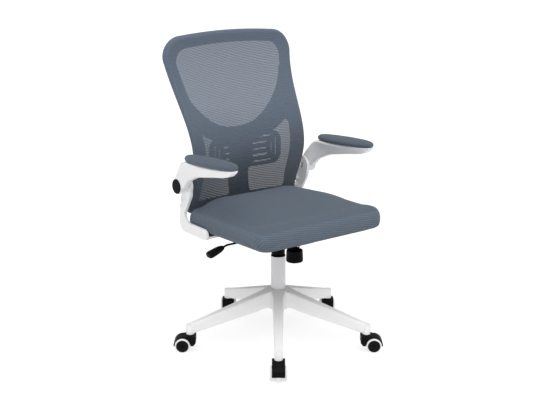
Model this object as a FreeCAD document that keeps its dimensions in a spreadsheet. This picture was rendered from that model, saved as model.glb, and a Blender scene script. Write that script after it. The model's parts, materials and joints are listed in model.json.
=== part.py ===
import FreeCAD, Part
import math
import os
import re
from types import SimpleNamespace

import Sketcher
from FreeCAD import Placement, Rotation, Vector

# Office chair with mesh back, flip-up arms, tilting seat, gas lift and five twin-wheel casters.
# Millimetres. Floor at z 0, column on the z axis, the sitter faces -y.

SIZES = [
    # casters
    ("wheel_r", 25, "caster wheel radius"),
    ("wheel_w", 20, "width of one caster wheel"),
    ("wheel_hub_r", 20.5, "radius of the dark hub disc in a wheel"),
    ("web_w", 12, "middle web of the caster hood that holds the axle"),
    ("wheel_side_gap", 1, "gap between web and wheel"),
    ("caster_trail", 25, "stem axis to wheel axis"),
    ("caster_side_turn", 18, "second and fifth caster turned from their legs, degrees"),
    ("caster_rear_turn", 36, "third and fourth caster turned from their legs, degrees"),
    ("well_gap", 1.6, "gap between wheel and hood"),
    ("hood_wall", 3.6, "wall of the caster hood"),
    ("hood_w", 42, "width of the caster hood"),
    ("hood_top", 58, "top of the hood above the floor"),
    ("hood_nose", 19, "reach of the hood in front of the stem"),
    ("hood_crest_x", 11, "rear end of the level top of the hood, from the stem"),
    ("hood_bevel", 3, "bevel of the hood nose"),
    ("hood_chin", 8, "slanted chin under the hood nose"),
    ("hood_skirt", 2, "lower edge of the hood below the axle"),
    ("web_head_x", 2, "front of the web under the hood top, ahead of the stem"),
    ("web_head_drop", 4, "web below the hood top"),
    ("web_foot_h", 6, "front foot of the web above the axle"),
    ("axle_r", 4, "wheel axle radius"),
    ("axle_boss_r", 9, "boss round the axle in the web"),
    ("axle_short", 4, "axle end inside the wheel face"),
    ("tyre_bevel", 2, "inner bevel of the tyre"),
    ("tyre_shoulder", 4, "outer shoulder of the tyre"),
    ("tyre_slope", 3, "fall of the tyre at its shoulder"),
    ("disc_rim", 4, "raised rim of the hub disc"),
    ("disc_dish", 1.4, "dish of the hub disc"),
    ("stem_r", 5.5, "caster stem radius"),
    ("stem_in_hood", 18, "stem length inside the hood"),
    ("stem_in_leg", 24, "stem length inside the leg end"),
    ("swivel_gap", 3, "hood top to leg end"),
    ("running_gap", 0.06, "radial gap of a running fit"),
    ("push_gap", 0.03, "radial gap of a pushed-in fit"),
    ("cut_margin", 1, "reach of a cut past the face that it opens"),
    # star base
    ("leg_count", 5, "legs of the base"),
    ("first_leg_angle", 232.8, "heading of the first leg from +x"),
    ("stem_circle_r", 310, "radius of the caster stem circle"),
    ("leg_end_w", 25, "leg width at its end"),
    ("leg_end_h", 35, "leg height at its end"),
    ("leg_boss_wall", 1, "round leg end beyond the leg width"),
    ("leg_boss_drop", 2, "round leg end below the leg top"),
    ("leg_root_w", 36, "leg width where it leaves the hub"),
    ("leg_flare_w", 24, "extra leg width at the column"),
    ("leg_flare_r", 75, "reach of the flare from the column axis"),
    ("leg_root_h", 62, "leg height at the hub"),
    ("leg_rise", 94, "leg top at the hub above leg top at the end"),
    ("leg_edge_r", 6, "rounding of the leg edges"),
    ("hub_top_r", 33, "hub radius at its top"),
    ("hub_low_r", 46, "hub radius at its underside"),
    ("hub_h", 66, "hub height"),
    ("hub_bevel", 3, "bevel round the top of the hub"),
    ("hub_foot_in", 4, "bevel round the foot of the hub"),
    ("hub_foot_h", 5, "height of the bevel at the foot of the hub"),
    # column
    ("tube_r", 25, "outer column tube radius"),
    ("tube_wall", 2, "outer tube wall"),
    ("tube_floor", 3, "floor of the outer tube"),
    ("tube_top", 305, "top of the outer tube above the floor"),
    ("bush_h", 85, "guide bush length"),
    ("bush_lip", 4, "guide bush lip above the tube"),
    ("rod_r", 5, "piston rod radius"),
    ("rod_tail", 6, "rod end below the tube floor"),
    ("tube_drop", 4, "outer tube below the hub"),
    ("rod_collar_h", 3, "collar of the rod on the bearing"),
    ("clip_low", 1.5, "rod clip above the rod end"),
    ("rod_clip_h", 2, "rod clip thickness"),
    ("rod_clip_out", 4, "rod clip beyond the rod"),
    ("bearing_r", 11, "thrust bearing radius"),
    ("bearing_h", 4, "thrust bearing height"),
    ("gas_r", 14, "gas cylinder radius"),
    ("gas_wall", 2, "gas cylinder wall"),
    ("gas_end", 8, "closed ends of the gas cylinder"),
    ("gas_len", 230, "gas cylinder length"),
    ("lift_travel", 100, "lift of the seat"),
    ("piston_h", 8, "piston height"),
    ("pin_r", 4, "release pin radius"),
    ("pin_h", 14, "release pin length"),
    ("pin_out", 6, "release pin above the cylinder"),
    # tilt mechanism
    ("box_floor", 370, "underside of the tilt housing"),
    ("box_t", 3, "sheet of the tilt housing"),
    ("box_w", 104, "width of the tilt housing"),
    ("box_front", -124, "front end of the housing"),
    ("box_rear", 44, "rear end of the housing"),
    ("box_rear_h", 9, "housing wall height at its rear"),
    ("socket_r", 23, "outside radius of the column socket"),
    ("socket_h", 58, "column socket below the housing"),
    ("tilt_y", -25, "tilt axis, y"),
    ("tilt_z", 383, "tilt axis, z"),
    ("shaft_r", 5, "tilt shaft radius"),
    ("ear_r", 12, "rounding of the plate ears"),
    ("ear_t", 3, "plate ear sheet"),
    ("ear_gap", 1.5, "ear to housing wall"),
    ("ear_spread", 8, "ear widening up to the plate"),
    ("ear_rear_up", 2, "ear into the raked plate at its rear"),
    ("ear_front_up", 4, "ear into the raked plate at its front"),
    ("housing_lip", 3, "housing top under the ear rounding, and its front over the tilt axis"),
    ("slot_wall", 2.4, "housing wall behind the lever bush"),
    ("slot_wall_h", 2.2, "housing wall over the lever bush"),
    ("relief_end", 4, "room past the end of the lever rod"),
    ("relief_drop", 0.6, "room for the lever rod under the housing floor"),
    ("bolt_swing", 7, "room round the tension bolt for the tilt"),
    ("shaft_out", 4, "tilt shaft past the ears"),
    ("knob_y", -89, "tension knob, y"),
    ("knob_low", 308, "underside of the tension knob"),
    ("knob_h", 39, "tension knob height"),
    ("knob_r", 28.5, "tension knob radius at its foot"),
    ("knob_top_r", 27, "tension knob radius at its top"),
    ("knob_wall", 4, "knob wall"),
    ("knob_floor", 12, "floor of the knob over its foot"),
    ("knob_bevel", 2, "bevel round the foot of the knob"),
    ("knob_foot_h", 3, "height of that bevel, and bolt stop in the knob"),
    ("knob_lip", 1, "bevel round the top of the knob"),
    ("flute_out", 0.8, "flute axis outside the knob"),
    ("flute_low", 4, "flutes start over the knob foot"),
    ("flute_r", 2.2, "radius of a finger flute on the knob"),
    ("flute_count", 20, "finger flutes on the knob"),
    ("bolt_r", 5, "tension bolt radius"),
    ("bolt_low", 6, "tension bolt end over the knob foot"),
    ("bolt_head_up", 5.5, "tension bolt head over the underside of the pan"),
    ("bolt_head_out", 4, "tension bolt head beyond its shank"),
    ("bolt_head_h", 4, "tension bolt head height"),
    ("washer_gap", 0.4, "washer to knob floor, and spring to its seats"),
    ("washer_play", 1, "washer inside the knob wall"),
    ("washer_t", 3, "spring washer thickness"),
    ("spring_r", 15, "mean radius of the tension spring"),
    ("spring_wire_r", 2.2, "wire radius of the tension spring"),
    ("spring_turns", 5, "turns of the tension spring"),
    # height lever
    ("lever_y", 2, "lever, y"),
    ("lever_z", 380, "lever rod, z"),
    ("lever_r", 3.5, "lever rod radius"),
    ("lever_pivot_x", 58, "lever pivot from the column axis"),
    ("lever_inner", 24, "lever rod past the column axis"),
    ("lever_straight", 208, "straight part of the lever rod, from the column axis"),
    ("lever_drop_angle", 17, "bend of the lever rod"),
    ("lever_tail", 62, "bent part of the lever rod"),
    ("cross_pin_r", 2.5, "lever cross pin radius"),
    ("lever_bush_w", 20, "lever bush width"),
    ("lever_bush_h", 10, "lever bush height"),
    ("lever_bush_len", 30, "lever bush length"),
    ("lever_play", 0.5, "room beside the lever rod in its bush"),
    ("bridge_len", 4, "bridge under the fork of the lever bush"),
    ("bridge_h", 1.2, "height of that bridge"),
    ("handle_len", 60, "paddle handle length"),
    ("handle_w", 27, "paddle handle width"),
    ("handle_h", 21, "paddle handle height"),
    ("handle_start", 12, "rod bare between its bend and the handle"),
    ("lever_bend_r", 28, "radius of the bend of the lever rod"),
    # seat
    ("seat_rake", 3, "rise of the seat to the front, degrees"),
    ("seat_low", 409, "underside of the cushion over the column"),
    ("seat_h", 71, "cushion height with its crown"),
    ("crown_inset", 120, "flat top of the crown inside the cushion edge"),
    ("seat_front", -255, "front edge of the seat"),
    ("seat_rear", 190, "rear edge of the seat"),
    ("seat_front_w", 508, "seat width at the front"),
    ("seat_waist_w", 480, "seat width between the brackets"),
    ("seat_waist_y", 42, "start of the narrower part of the seat"),
    ("seat_rear_w", 478, "seat width at the rear"),
    ("seat_corner_r", 40, "front corner radius of the seat"),
    ("seat_waist_r", 400, "rounding where the seat narrows"),
    ("seat_rear_r", 26, "rear corner radius of the seat"),
    ("seat_least_r", 12, "least corner radius of the seat's outlines"),
    ("seat_draw_in", 12, "cushion sides drawn in at the underside"),
    ("pan_t", 9, "seat pan thickness"),
    ("pan_inset", 30, "pan edge inside the cushion edge"),
    ("plate_t", 3, "seat plate thickness"),
    ("plate_w", 180, "seat plate width"),
    ("plate_front", -116, "front of the seat plate"),
    ("plate_rear", 100, "rear of the seat plate"),
    ("screw_r", 3, "screw shank radius"),
    ("screw_head_r", 6, "screw head radius"),
    ("screw_head_h", 4, "screw head height"),
    ("plate_screw_x", 75, "plate screws from the middle"),
    ("plate_screw_front", -70, "front plate screws, y"),
    ("plate_screw_rear", 80, "rear plate screws, y"),
    ("plate_bevel_x", 40, "cut front corners of the plate, across"),
    ("plate_bevel_y", 30, "cut front corners of the plate, along"),
    ("screw_gap", 0.3, "screw holes of the plate"),
    ("screw_short", 2, "screw ends below the cushion"),
    ("pan_gap", 0.2, "pan to cushion"),
    ("bolt_pocket", 6, "pocket in the pan round the tension bolt"),
    # arm brackets
    ("bracket_in", 241, "inner face of the arm bracket from the middle"),
    ("bracket_t", 12, "arm bracket thickness"),
    ("bracket_low", 388, "underside of the bracket"),
    ("bracket_front", 52, "front end of the bracket foot, y"),
    ("bracket_rear", 216, "rear edge of the bracket, y"),
    ("bracket_foot_h", 34, "bracket foot height"),
    ("bracket_post_w", 32, "bracket post width"),
    ("bracket_bend_r", 28, "bends of the bracket between foot and post"),
    ("bracket_kink_r", 8, "rounded front corners of the bracket foot"),
    ("bracket_edge_r", 3.5, "rounding of the outer edges of the bracket"),
    ("foot_t", 7, "foot plate under the pan"),
    ("foot_reach", 110, "foot plate reach under the pan"),
    ("foot_len", 96, "foot plate length"),
    ("foot_front", 14, "foot plate behind the bracket toe"),
    ("foot_screw_in", 22, "foot screws from the inner end of the foot plate"),
    ("foot_screw_step", 48, "second rear foot screw from the first"),
    ("foot_screw_front", 34, "front foot screw behind the bracket toe"),
    ("foot_screw_rear", 18, "rear foot screws from the end of the foot plate"),
    ("toe_len", 20, "slanted toe of the bracket foot"),
    ("toe_in", 8, "bevel of the bracket toe"),
    ("heel_h", 26, "straight heel of the bracket over its bend"),
    ("neck_y", 25, "rear of the bracket neck behind the pivot"),
    ("neck_drop", 34, "bracket neck below the pivot"),
    ("post_step", 3, "start of the leaning post over its bend"),
    ("eye_r", 33, "bracket eye round the arm pivot"),
    ("eye_blend", 2, "bracket outline inside the eye"),
    ("boss_r", 9, "spacer boss of a back screw"),
    ("back_screw_low", 3, "lower back screw over the hip"),
    ("back_screw_high", 29, "upper back screw over the hip"),
    ("back_screw_bite", 14, "back screw inside the rail"),
    # arms
    ("pivot_y", 178, "arm pivot, y"),
    ("pivot_z", 552, "arm pivot, z"),
    ("pivot_r", 6, "arm pivot bolt radius"),
    ("pivot_head_out", 3, "arm pivot head beyond its shank"),
    ("pivot_head_h", 4, "arm pivot head height"),
    ("pivot_head_gap", 0.1, "arm pivot head to bracket"),
    ("pivot_end", 0.5, "arm pivot past the hub"),
    ("nut_out", 5, "nut room round the arm pivot"),
    ("nut_deep", 6, "nut room in the hub"),
    ("hub_gap", 0.6, "arm hub to bracket"),
    ("arm_hub_r", 26, "arm hub radius"),
    ("arm_hub_w", 31, "arm hub width"),
    ("cap_t", 3, "pivot cap thickness"),
    ("cap_in", 1.5, "pivot cap inside the hub edge"),
    ("cap_bevel", 1.2, "bevel of the pivot cap"),
    ("cap_gap", 0.05, "pivot cap to hub"),
    ("pad_gap", 0.3, "arm pad to arm"),
    ("pad_x", 277, "arm pad centre from the middle"),
    ("pad_low", 647, "underside of the arm pad"),
    ("pad_h", 22, "arm pad height"),
    ("pad_len", 276, "arm pad length"),
    ("pad_w", 76, "arm pad width"),
    ("pad_y", -20, "arm pad centre before the arm is raked, y"),
    ("arm_rake", 3, "rise of the arm to the front, degrees"),
    # back
    ("back_low", 436, "lower edge of the back"),
    ("back_top", 1037, "upper edge of the back"),
    ("back_low_y", 207, "front of the back at its lower edge"),
    ("hip_z", 472, "height of the hip station of the back"),
    ("hip_y", 199, "front of the back at the hip station"),
    ("waist_z", 632, "height of the most forward point of the back"),
    ("waist_y", 144, "front of the back at the waist"),
    ("chest_z", 830, "height of the upper station of the back"),
    ("chest_y", 219, "front of the back at the upper station"),
    ("back_top_y", 274, "front of the back at its upper edge"),
    ("back_low_half", 228, "half width of the back at its lower part"),
    ("back_wide_half", 260, "half width of the back at its shoulders"),
    ("back_shoulder_z", 935, "height of the shoulders"),
    ("back_corner_r", 74, "rounding of the shoulders"),
    ("back_low_r", 34, "rounding of the lower corners"),
    ("back_tail", 30, "side curve carried on below the back"),
    ("back_crest", 10, "side curve carried on above the back"),
    ("shoulder_drop", 9, "shoulders below the arched upper edge"),
    ("bend_drop", 32, "start of the flare below the waist"),
    ("rail_w", 40, "width of the back frame rails"),
    ("rail_d", 20, "depth of the back frame rails"),
    ("back_edge_r", 12, "rounding of the outer front edge of the back frame"),
    ("back_rear_r", 4, "rounding of the outer rear edge of the back frame"),
    ("yoke_set", 4, "yoke behind the mesh at the rails"),
    ("yoke_bow", 68, "yoke bowed back in the middle"),
    ("yoke_t", 14, "yoke thickness"),
    ("yoke_edge_z", 710, "upper edge of the yoke in the middle"),
    ("yoke_h", 46, "yoke height in the middle"),
    ("yoke_low", 8, "foot of the yoke panel over the lower edge"),
    ("yoke_high", 70, "head of the yoke panel over the upper station"),
    ("window_top_in", 6, "upper window below the upper rail"),
    ("window_drop", 20, "widest part of the upper window below the shoulders"),
    ("window_side_h", 40, "straight sides of the upper window"),
    ("window_side_in", 8, "slant of those sides"),
    ("window_head_in", 4, "slant of the sides at the top"),
    ("window_head_drop", 8, "corners of the upper window below its arched top"),
    ("window_corner_r", 30, "rounding of the upper window"),
    ("shield_h", 72, "round flank of the upper window over its foot"),
    ("shield_foot_h", 14, "round foot of the upper window"),
    ("low_window_r", 14, "rounding of the lower windows"),
    ("low_window_out", 2, "lower windows into the rails"),
    ("low_window_lean", 8, "lean of the lower windows"),
    ("low_window_h", 82, "outer horn of the lower windows over the yoke"),
    ("low_window_arch", 26, "arch of the lower windows over the yoke"),
    ("spine_w", 76, "spine width"),
    ("mesh_t", 2, "mesh sleeve thickness"),
    ("mesh_gap", 0.3, "mesh to frame"),
    # lumbar support
    ("lumbar_z", 634, "lumbar pad centre height"),
    ("lumbar_w", 300, "lumbar pad width"),
    ("lumbar_h", 116, "lumbar pad height"),
    ("lumbar_t", 5, "lumbar pad thickness"),
    ("lumbar_y", 181, "front of the lumbar pad"),
    ("lumbar_corner_r", 38, "lumbar pad corner radius"),
    ("lumbar_rim", 15, "rim of the lumbar pad"),
    ("lumbar_slot", 6.5, "width of a slot in the lumbar pad"),
    ("lumbar_spine", 6, "plain part of the lumbar pad beside its clip"),
    ("lumbar_travel", 20, "lumbar pad travel up and down"),
    ("guide_w", 28, "lumbar guide head width"),
    ("guide_neck_w", 14, "lumbar guide neck width"),
    ("guide_t", 6, "lumbar guide head thickness"),
    ("guide_spare", 24, "lumbar guide past the travel of its clip"),
    ("guide_sink", 6, "lumbar guide into the yoke"),
    ("guide_gap", 0.4, "lumbar clip running gap"),
    ("clip_w", 44, "lumbar clip width"),
    ("clip_h", 44, "lumbar clip height"),
    ("clip_wall", 5, "lumbar clip wall"),
]

doc = FreeCAD.newDocument("office_chair")
sheet = doc.addObject("Spreadsheet::Sheet", "sizes")
for row, (alias, value, meaning) in enumerate(SIZES, 1):
    sheet.set(f"A{row}", meaning)
    sheet.set(f"B{row}", str(value))
    sheet.setAlias(f"B{row}", alias)
doc.recompute()
ALIASES = {alias for alias, value, meaning in SIZES}
size = SimpleNamespace(**{alias: float(sheet.get(alias)) for alias in ALIASES})
nodes = []

X_AXIS, Y_AXIS, Z_AXIS = Vector(1, 0, 0), Vector(0, 1, 0), Vector(0, 0, 1)
TURN = {"z": Rotation(), "x": Rotation(Y_AXIS, 90), "y": Rotation(X_AXIS, -90)}
# Radius of the ring that an outline starts from, before its corners are pinned
START_RING_R = 50
# Nearness at which two points count as one
TOUCH = 1e-6
# Nearness of an edge to the face that it is looked for on
NEAR_FACE = 0.05


def bound(text):
    """Expression text with every size name pointed at the sheet."""
    def pointed(match):
        word = match.group()
        return "sizes." + word if word in ALIASES else word

    return re.sub(r"[a-z_][a-z0-9_]*", pointed, str(text))


def bind(thing, **expressions):
    for name, text in expressions.items():
        thing.setExpression(name, bound(text))
    return thing


def place(thing, x="0", y="0", z="0", rotation=Rotation()):
    """Place an object: fixed turn, position from the sheet."""
    thing.Placement = Placement(Vector(), rotation)
    for axis, text in zip("xyz", (x, y, z)):
        thing.setExpression("Placement.Base." + axis, bound(text))
    return thing


def cylinder(name, radius, height, x="0", y="0", z="0", along="z"):
    thing = bind(doc.addObject("Part::Cylinder", name), Radius=radius, Height=height)
    return place(thing, x, y, z, TURN[along])


def box(name, length, width, height, x, y, z, rotation=Rotation()):
    thing = bind(doc.addObject("Part::Box", name), Length=length, Width=width, Height=height)
    return place(thing, x, y, z, rotation)


def fused(name, things):
    whole = doc.addObject("Part::MultiFuse", name)
    whole.Shapes = things
    return whole


def cut(name, base, tool):
    rest = doc.addObject("Part::Cut", name)
    rest.Base, rest.Tool = base, tool
    return rest


def solid(name, shape):
    thing = doc.addObject("Part::Feature", name)
    thing.Shape = shape
    return thing


def mirrored(name, source):
    twin = doc.addObject("Part::Mirroring", name)
    twin.Source, twin.Normal, twin.Base = source, X_AXIS, Vector()
    return twin


def node(label, thing):
    """Name a finished piece; its file takes this name."""
    thing.Label = label
    nodes.append((label, thing))
    return thing


def sketch_on(body, role, name):
    drawing = body.newObject("Sketcher::SketchObject", name)
    drawing.AttachmentSupport = (next(f for f in body.Origin.OriginFeatures if f.Role == role), "")
    drawing.MapMode = "FlatFace"
    return drawing


def outline(drawing, corners):
    """Closed outline whose corners are pinned to expressions."""
    count = len(corners)
    angles = [2 * math.pi * k / count for k in range(count)]
    ring = [Vector(math.cos(angle), math.sin(angle), 0) * START_RING_R for angle in angles]
    for k in range(count):
        drawing.addGeometry(Part.LineSegment(ring[k], ring[(k + 1) % count]), False)
    for k in range(count):
        drawing.addConstraint(Sketcher.Constraint("Coincident", k, 2, (k + 1) % count, 1))
    for k, corner in enumerate(corners):
        for kind, start, text in zip(("DistanceX", "DistanceY"), ring[k], corner):
            index = drawing.addConstraint(Sketcher.Constraint(kind, -1, 1, k, 1, start))
            drawing.setExpression(f"Constraints[{index}]", bound(text))


def turned(name, corners):
    """Body turned about z from a half section of (radius, height) corners."""
    body = doc.addObject("PartDesign::Body", name)
    drawing = sketch_on(body, "XZ_Plane", name + "_section")
    outline(drawing, corners)
    feature = body.newObject("PartDesign::Revolution", name + "_turned")
    feature.Profile = drawing
    feature.ReferenceAxis = (drawing, ["V_Axis"])
    feature.Angle = 360
    return body


def padded(name, role, corners, length, offset="0", both=False):
    """Body padded from an outline on a main plane."""
    body = doc.addObject("PartDesign::Body", name)
    drawing = sketch_on(body, role, name + "_outline")
    drawing.setExpression("AttachmentOffset.Base.z", bound(offset))
    outline(drawing, corners)
    feature = body.newObject("PartDesign::Pad", name + "_pad")
    feature.Profile = drawing
    bind(feature, Length=length)
    feature.Midplane = both
    return body


def rounded(body, wanted, radius):
    """Fillet the edges of a body whose mid point and direction pass the test."""
    doc.recompute()
    names = []
    for number, edge in enumerate(body.Shape.Edges, 1):
        middle = edge.valueAt((edge.FirstParameter + edge.LastParameter) / 2)
        ends = edge.Vertexes[-1].Point - edge.Vertexes[0].Point
        if wanted(middle, ends):
            names.append(f"Edge{number}")
    before = body.Tip
    feature = body.newObject("PartDesign::Fillet", body.Name + "_round")
    feature.Base = (before, names)
    bind(feature, Radius=radius)
    return body


def wire(points, closed=True):
    """Wire through corners; a corner given as a pair is the mid and end point of an arc."""
    edges = []
    here = points[0]
    for step in points[1:]:
        if isinstance(step, tuple):
            edges.append(Part.Arc(here, step[0], step[1]).toShape())
            here = step[1]
        else:
            edges.append(Part.makeLine(here, step))
            here = step
    if closed and (here - points[0]).Length > TOUCH:
        edges.append(Part.makeLine(here, points[0]))
    return Part.Wire(edges)


def round_corners(corners, radii, lift):
    """Closed wire of lines and corner arcs; corners are plan points, lift maps them to space."""
    count = len(corners)
    starts, mids, ends = [], [], []
    for k in range(count):
        here = corners[k]
        back = (corners[k - 1] - here).normalize()
        ahead = (corners[(k + 1) % count] - here).normalize()
        half = back.getAngle(ahead) / 2
        reach = radii[k] / math.tan(half)
        middle = (back + ahead).normalize()
        starts.append(here + back * reach)
        ends.append(here + ahead * reach)
        mids.append(here + middle * (radii[k] / math.sin(half) - radii[k]))
    edges = []
    for k in range(count):
        edges.append(Part.Arc(lift(starts[k]), lift(mids[k]), lift(ends[k])).toShape())
        edges.append(Part.makeLine(lift(ends[k]), lift(starts[(k + 1) % count])))
    return Part.Wire(edges)


def oblong(half_x, half_y, far_half_x=None):
    """Corners of an upright oblong about the middle, or of one with a different far side."""
    far = half_x if far_half_x is None else far_half_x
    near_side = [Vector(-half_x, -half_y, 0), Vector(half_x, -half_y, 0)]
    return near_side + [Vector(far, half_y, 0), Vector(-far, half_y, 0)]


def compound(name, things):
    group = doc.addObject("Part::Compound", name)
    group.Links = things
    return group


def moved_by_rake(thing):
    """Tip a level seat piece to the seat rake about the point under the cushion."""
    thing.Placement = Placement(Vector(), Rotation(X_AXIS, -size.seat_rake))
    thing.setExpression("Placement.Base.z", bound("seat_low"))
    thing.setExpression("Placement.Rotation.Angle", bound("seat_rake * 1 deg"))
    thing.setExpression("Placement.Rotation.Axis.x", "-1")
    return thing


# Star base

leg_low = size.hood_top + size.swivel_gap
LEG_LOW = "(hood_top + swivel_gap)"
HUB_TOP = "(hood_top + swivel_gap + leg_end_h + leg_rise)"
HUB_LOW = f"({HUB_TOP} - hub_h)"
HUB_BELLY = f"({HUB_TOP} - hub_h * 0.45)"
LEG_FLARE_SHARES = (0, 0.25, 0.5, 0.75, 1)


def leg_heading(k, turn="0"):
    """Heading of a leg, or of the caster under it, counted from 0."""
    return f"((first_leg_angle + 360 / leg_count * {k} + {turn}) * 1 deg)"


def stem_place(k):
    """Place of the caster stem under a leg, counted from 0."""
    return f"stem_circle_r * cos{leg_heading(k)}", f"stem_circle_r * sin{leg_heading(k)}"


def leg_section(distance, width, low, high):
    """Upright rounded section of a leg at a distance from the column axis."""
    middle = (low + high) / 2
    corners = oblong(width / 2, (high - low) / 2)
    return round_corners(corners, [size.leg_edge_r] * 4, lambda p: Vector(distance, p.x, middle + p.y))


def star_base():
    end_top = leg_low + size.leg_end_h
    root_top = end_top + size.leg_rise
    root_r = size.tube_r + size.tube_wall
    root_low = root_top - size.leg_root_h
    flare = size.leg_flare_r - root_r
    sections = []
    for share in LEG_FLARE_SHARES:
        distance = root_r + flare * share
        along = (distance - root_r) / (size.stem_circle_r - root_r)
        width = size.leg_root_w + size.leg_flare_w * (1 - share) ** 2
        low = root_low + (leg_low - root_low) * along * share
        sections.append(leg_section(distance, width, low, root_top - size.leg_rise * along))
    sections.append(leg_section(size.stem_circle_r, size.leg_end_w, leg_low, end_top))
    leg = Part.makeLoft(sections, True, True)
    hub = turned("base_hub", [
        ("tube_r + push_gap", HUB_LOW), ("hub_low_r - hub_foot_in", HUB_LOW),
        ("hub_low_r", HUB_LOW + " + hub_foot_h"), ("hub_low_r - hub_bevel", HUB_BELLY),
        ("hub_top_r", HUB_TOP + " - hub_bevel"), ("hub_top_r - hub_bevel", HUB_TOP),
        ("tube_r + push_gap", HUB_TOP)])
    pieces = [hub]
    holes = [cylinder("base_bore", "tube_r + push_gap", HUB_TOP, z="0")]
    for k in range(int(size.leg_count)):
        spoke = solid(f"leg_{k + 1}", leg)
        spoke.setExpression("Placement.Rotation.Angle", bound(leg_heading(k)))
        x, y = stem_place(k)
        end_r, end_h = "leg_end_w / 2 + leg_boss_wall", "leg_end_h - leg_boss_drop"
        pieces += [spoke, cylinder(f"leg_end_{k + 1}", end_r, end_h, x, y, LEG_LOW)]
        holes.append(cylinder(f"stem_hole_{k + 1}", "stem_r + push_gap", "stem_in_leg", x, y, LEG_LOW))
    raw = fused("star_base_raw", pieces)
    node("star_base", cut("star_base_cut", raw, fused("star_base_holes", holes)))


# Casters: built with the stem on the local z axis, wheels trailing along local +x

CASTER_TURNS = ("0", "caster_side_turn", "caster_rear_turn", "-caster_rear_turn", "-caster_side_turn")
WELL_R = "(wheel_r + well_gap)"
HOOD_R = "(wheel_r + well_gap + hood_wall)"


def caster_hood(k):
    drum = cylinder(f"hood_drum_{k}", HOOD_R, "hood_w", "caster_trail", "-hood_w / 2", "wheel_r", "y")
    nose = padded(f"hood_nose_{k}", "XZ_Plane", [
        ("caster_trail", f"wheel_r + {HOOD_R}"), ("hood_crest_x", "hood_top"),
        ("hood_bevel - hood_nose", "hood_top"), ("-hood_nose", "hood_top - hood_bevel"),
        ("-hood_nose", "wheel_r + hood_chin"), ("hood_chin - hood_nose", "wheel_r - hood_skirt"),
        ("caster_trail", "wheel_r - hood_skirt")], "hood_w", both=True)
    below = box(f"hood_below_{k}", f"2 * {HOOD_R} + 2 * cut_margin", "hood_w + 2 * cut_margin",
                "wheel_r - hood_skirt + hood_w", f"caster_trail - {HOOD_R} - cut_margin",
                "-hood_w / 2 - cut_margin", "-hood_w")
    side = cut(f"hood_side_{k}", fused(f"hood_full_{k}", [drum, nose]), below)
    well = cylinder(f"hood_well_{k}", WELL_R, "hood_w + 2 * cut_margin", "caster_trail",
                    "-hood_w / 2 - cut_margin", "wheel_r", "y")
    web = padded(f"hood_web_{k}", "XZ_Plane", [
        ("caster_trail - axle_boss_r", "wheel_r - hood_skirt"),
        ("caster_trail + axle_boss_r", "wheel_r - hood_skirt"),
        (f"caster_trail + {WELL_R} * 0.8", f"wheel_r + {WELL_R} * 0.7"),
        ("caster_trail", f"wheel_r + {WELL_R} + cut_margin"), ("-web_head_x", "hood_top - web_head_drop"),
        ("web_head_x - hood_nose / 2", "wheel_r + web_foot_h")], "web_w", both=True)
    boss = cylinder(f"hood_boss_{k}", "axle_boss_r", "web_w", "caster_trail", "-web_w / 2", "wheel_r", "y")
    body = fused(f"hood_raw_{k}", [cut(f"hood_shell_{k}", side, well), web, boss])
    axle_hole = cylinder(f"hood_axle_hole_{k}", "axle_r + push_gap", "web_w + 2 * cut_margin", "caster_trail",
                         "-web_w / 2 - cut_margin", "wheel_r", "y")
    stem_hole = cylinder(f"hood_stem_hole_{k}", "stem_r + running_gap", "stem_in_hood + cut_margin",
                         z="hood_top - stem_in_hood")
    return cut(f"hood_{k}", body, fused(f"hood_holes_{k}", [axle_hole, stem_hole]))


def caster_wheel(k, side):
    """Pale tyre ring and dark hub of one wheel, turned about the axle."""
    name = "left" if side > 0 else "right"
    tyre_bore, axle_bore, face = "wheel_hub_r + push_gap", "axle_r + running_gap", "wheel_w - disc_dish"
    tyre = turned(f"tyre_{name}_{k}", [
        (tyre_bore, "0"), ("wheel_r - tyre_bevel", "0"), ("wheel_r", "tyre_bevel * 1.25"),
        ("wheel_r", "wheel_w - tyre_shoulder"), ("wheel_r - tyre_slope", "wheel_w - 0.5"),
        (tyre_bore, "wheel_w")])
    hub = turned(f"wheel_hub_{name}_{k}", [
        (axle_bore, "0"), ("wheel_hub_r", "0"), ("wheel_hub_r", "wheel_w - 1"),
        ("wheel_hub_r - 1.5", "wheel_w - 0.4"), ("wheel_hub_r - disc_rim", face), (axle_bore, face)])
    away = f"{side} * (web_w / 2 + wheel_side_gap)"
    for piece in (tyre, hub):
        place(piece, "caster_trail", away, "wheel_r", Rotation(X_AXIS, -90 * side))
    return compound(f"wheel_{name}_{k}", [tyre, hub])


def casters():
    stems = []
    length = "(web_w + 2 * wheel_side_gap + 2 * wheel_w - 2 * axle_short)"
    for k in range(1, int(size.leg_count) + 1):
        x, y = stem_place(k - 1)
        axle = cylinder(f"axle_{k}", "axle_r", length, "caster_trail", f"-{length} / 2", "wheel_r", "y")
        pieces = {"hood": caster_hood(k), "axle": axle,
                  "wheel_left": caster_wheel(k, 1), "wheel_right": caster_wheel(k, -1)}
        for name, piece in pieces.items():
            whole = compound(f"caster_{k}_{name}", [piece])
            whole.setExpression("Placement.Base.x", bound(x))
            whole.setExpression("Placement.Base.y", bound(y))
            whole.setExpression("Placement.Rotation.Angle", bound(leg_heading(k - 1, CASTER_TURNS[k - 1])))
            node(f"caster_{k}_{name}", whole)
        stem_h = "stem_in_hood + swivel_gap + stem_in_leg - cut_margin"
        stem_low = "hood_top - stem_in_hood + cut_margin / 2"
        stems.append(cylinder(f"stem_{k}", "stem_r", stem_h, x, y, stem_low))
    node("caster_stems", compound("stems", stems))


# Column with gas lift

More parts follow.
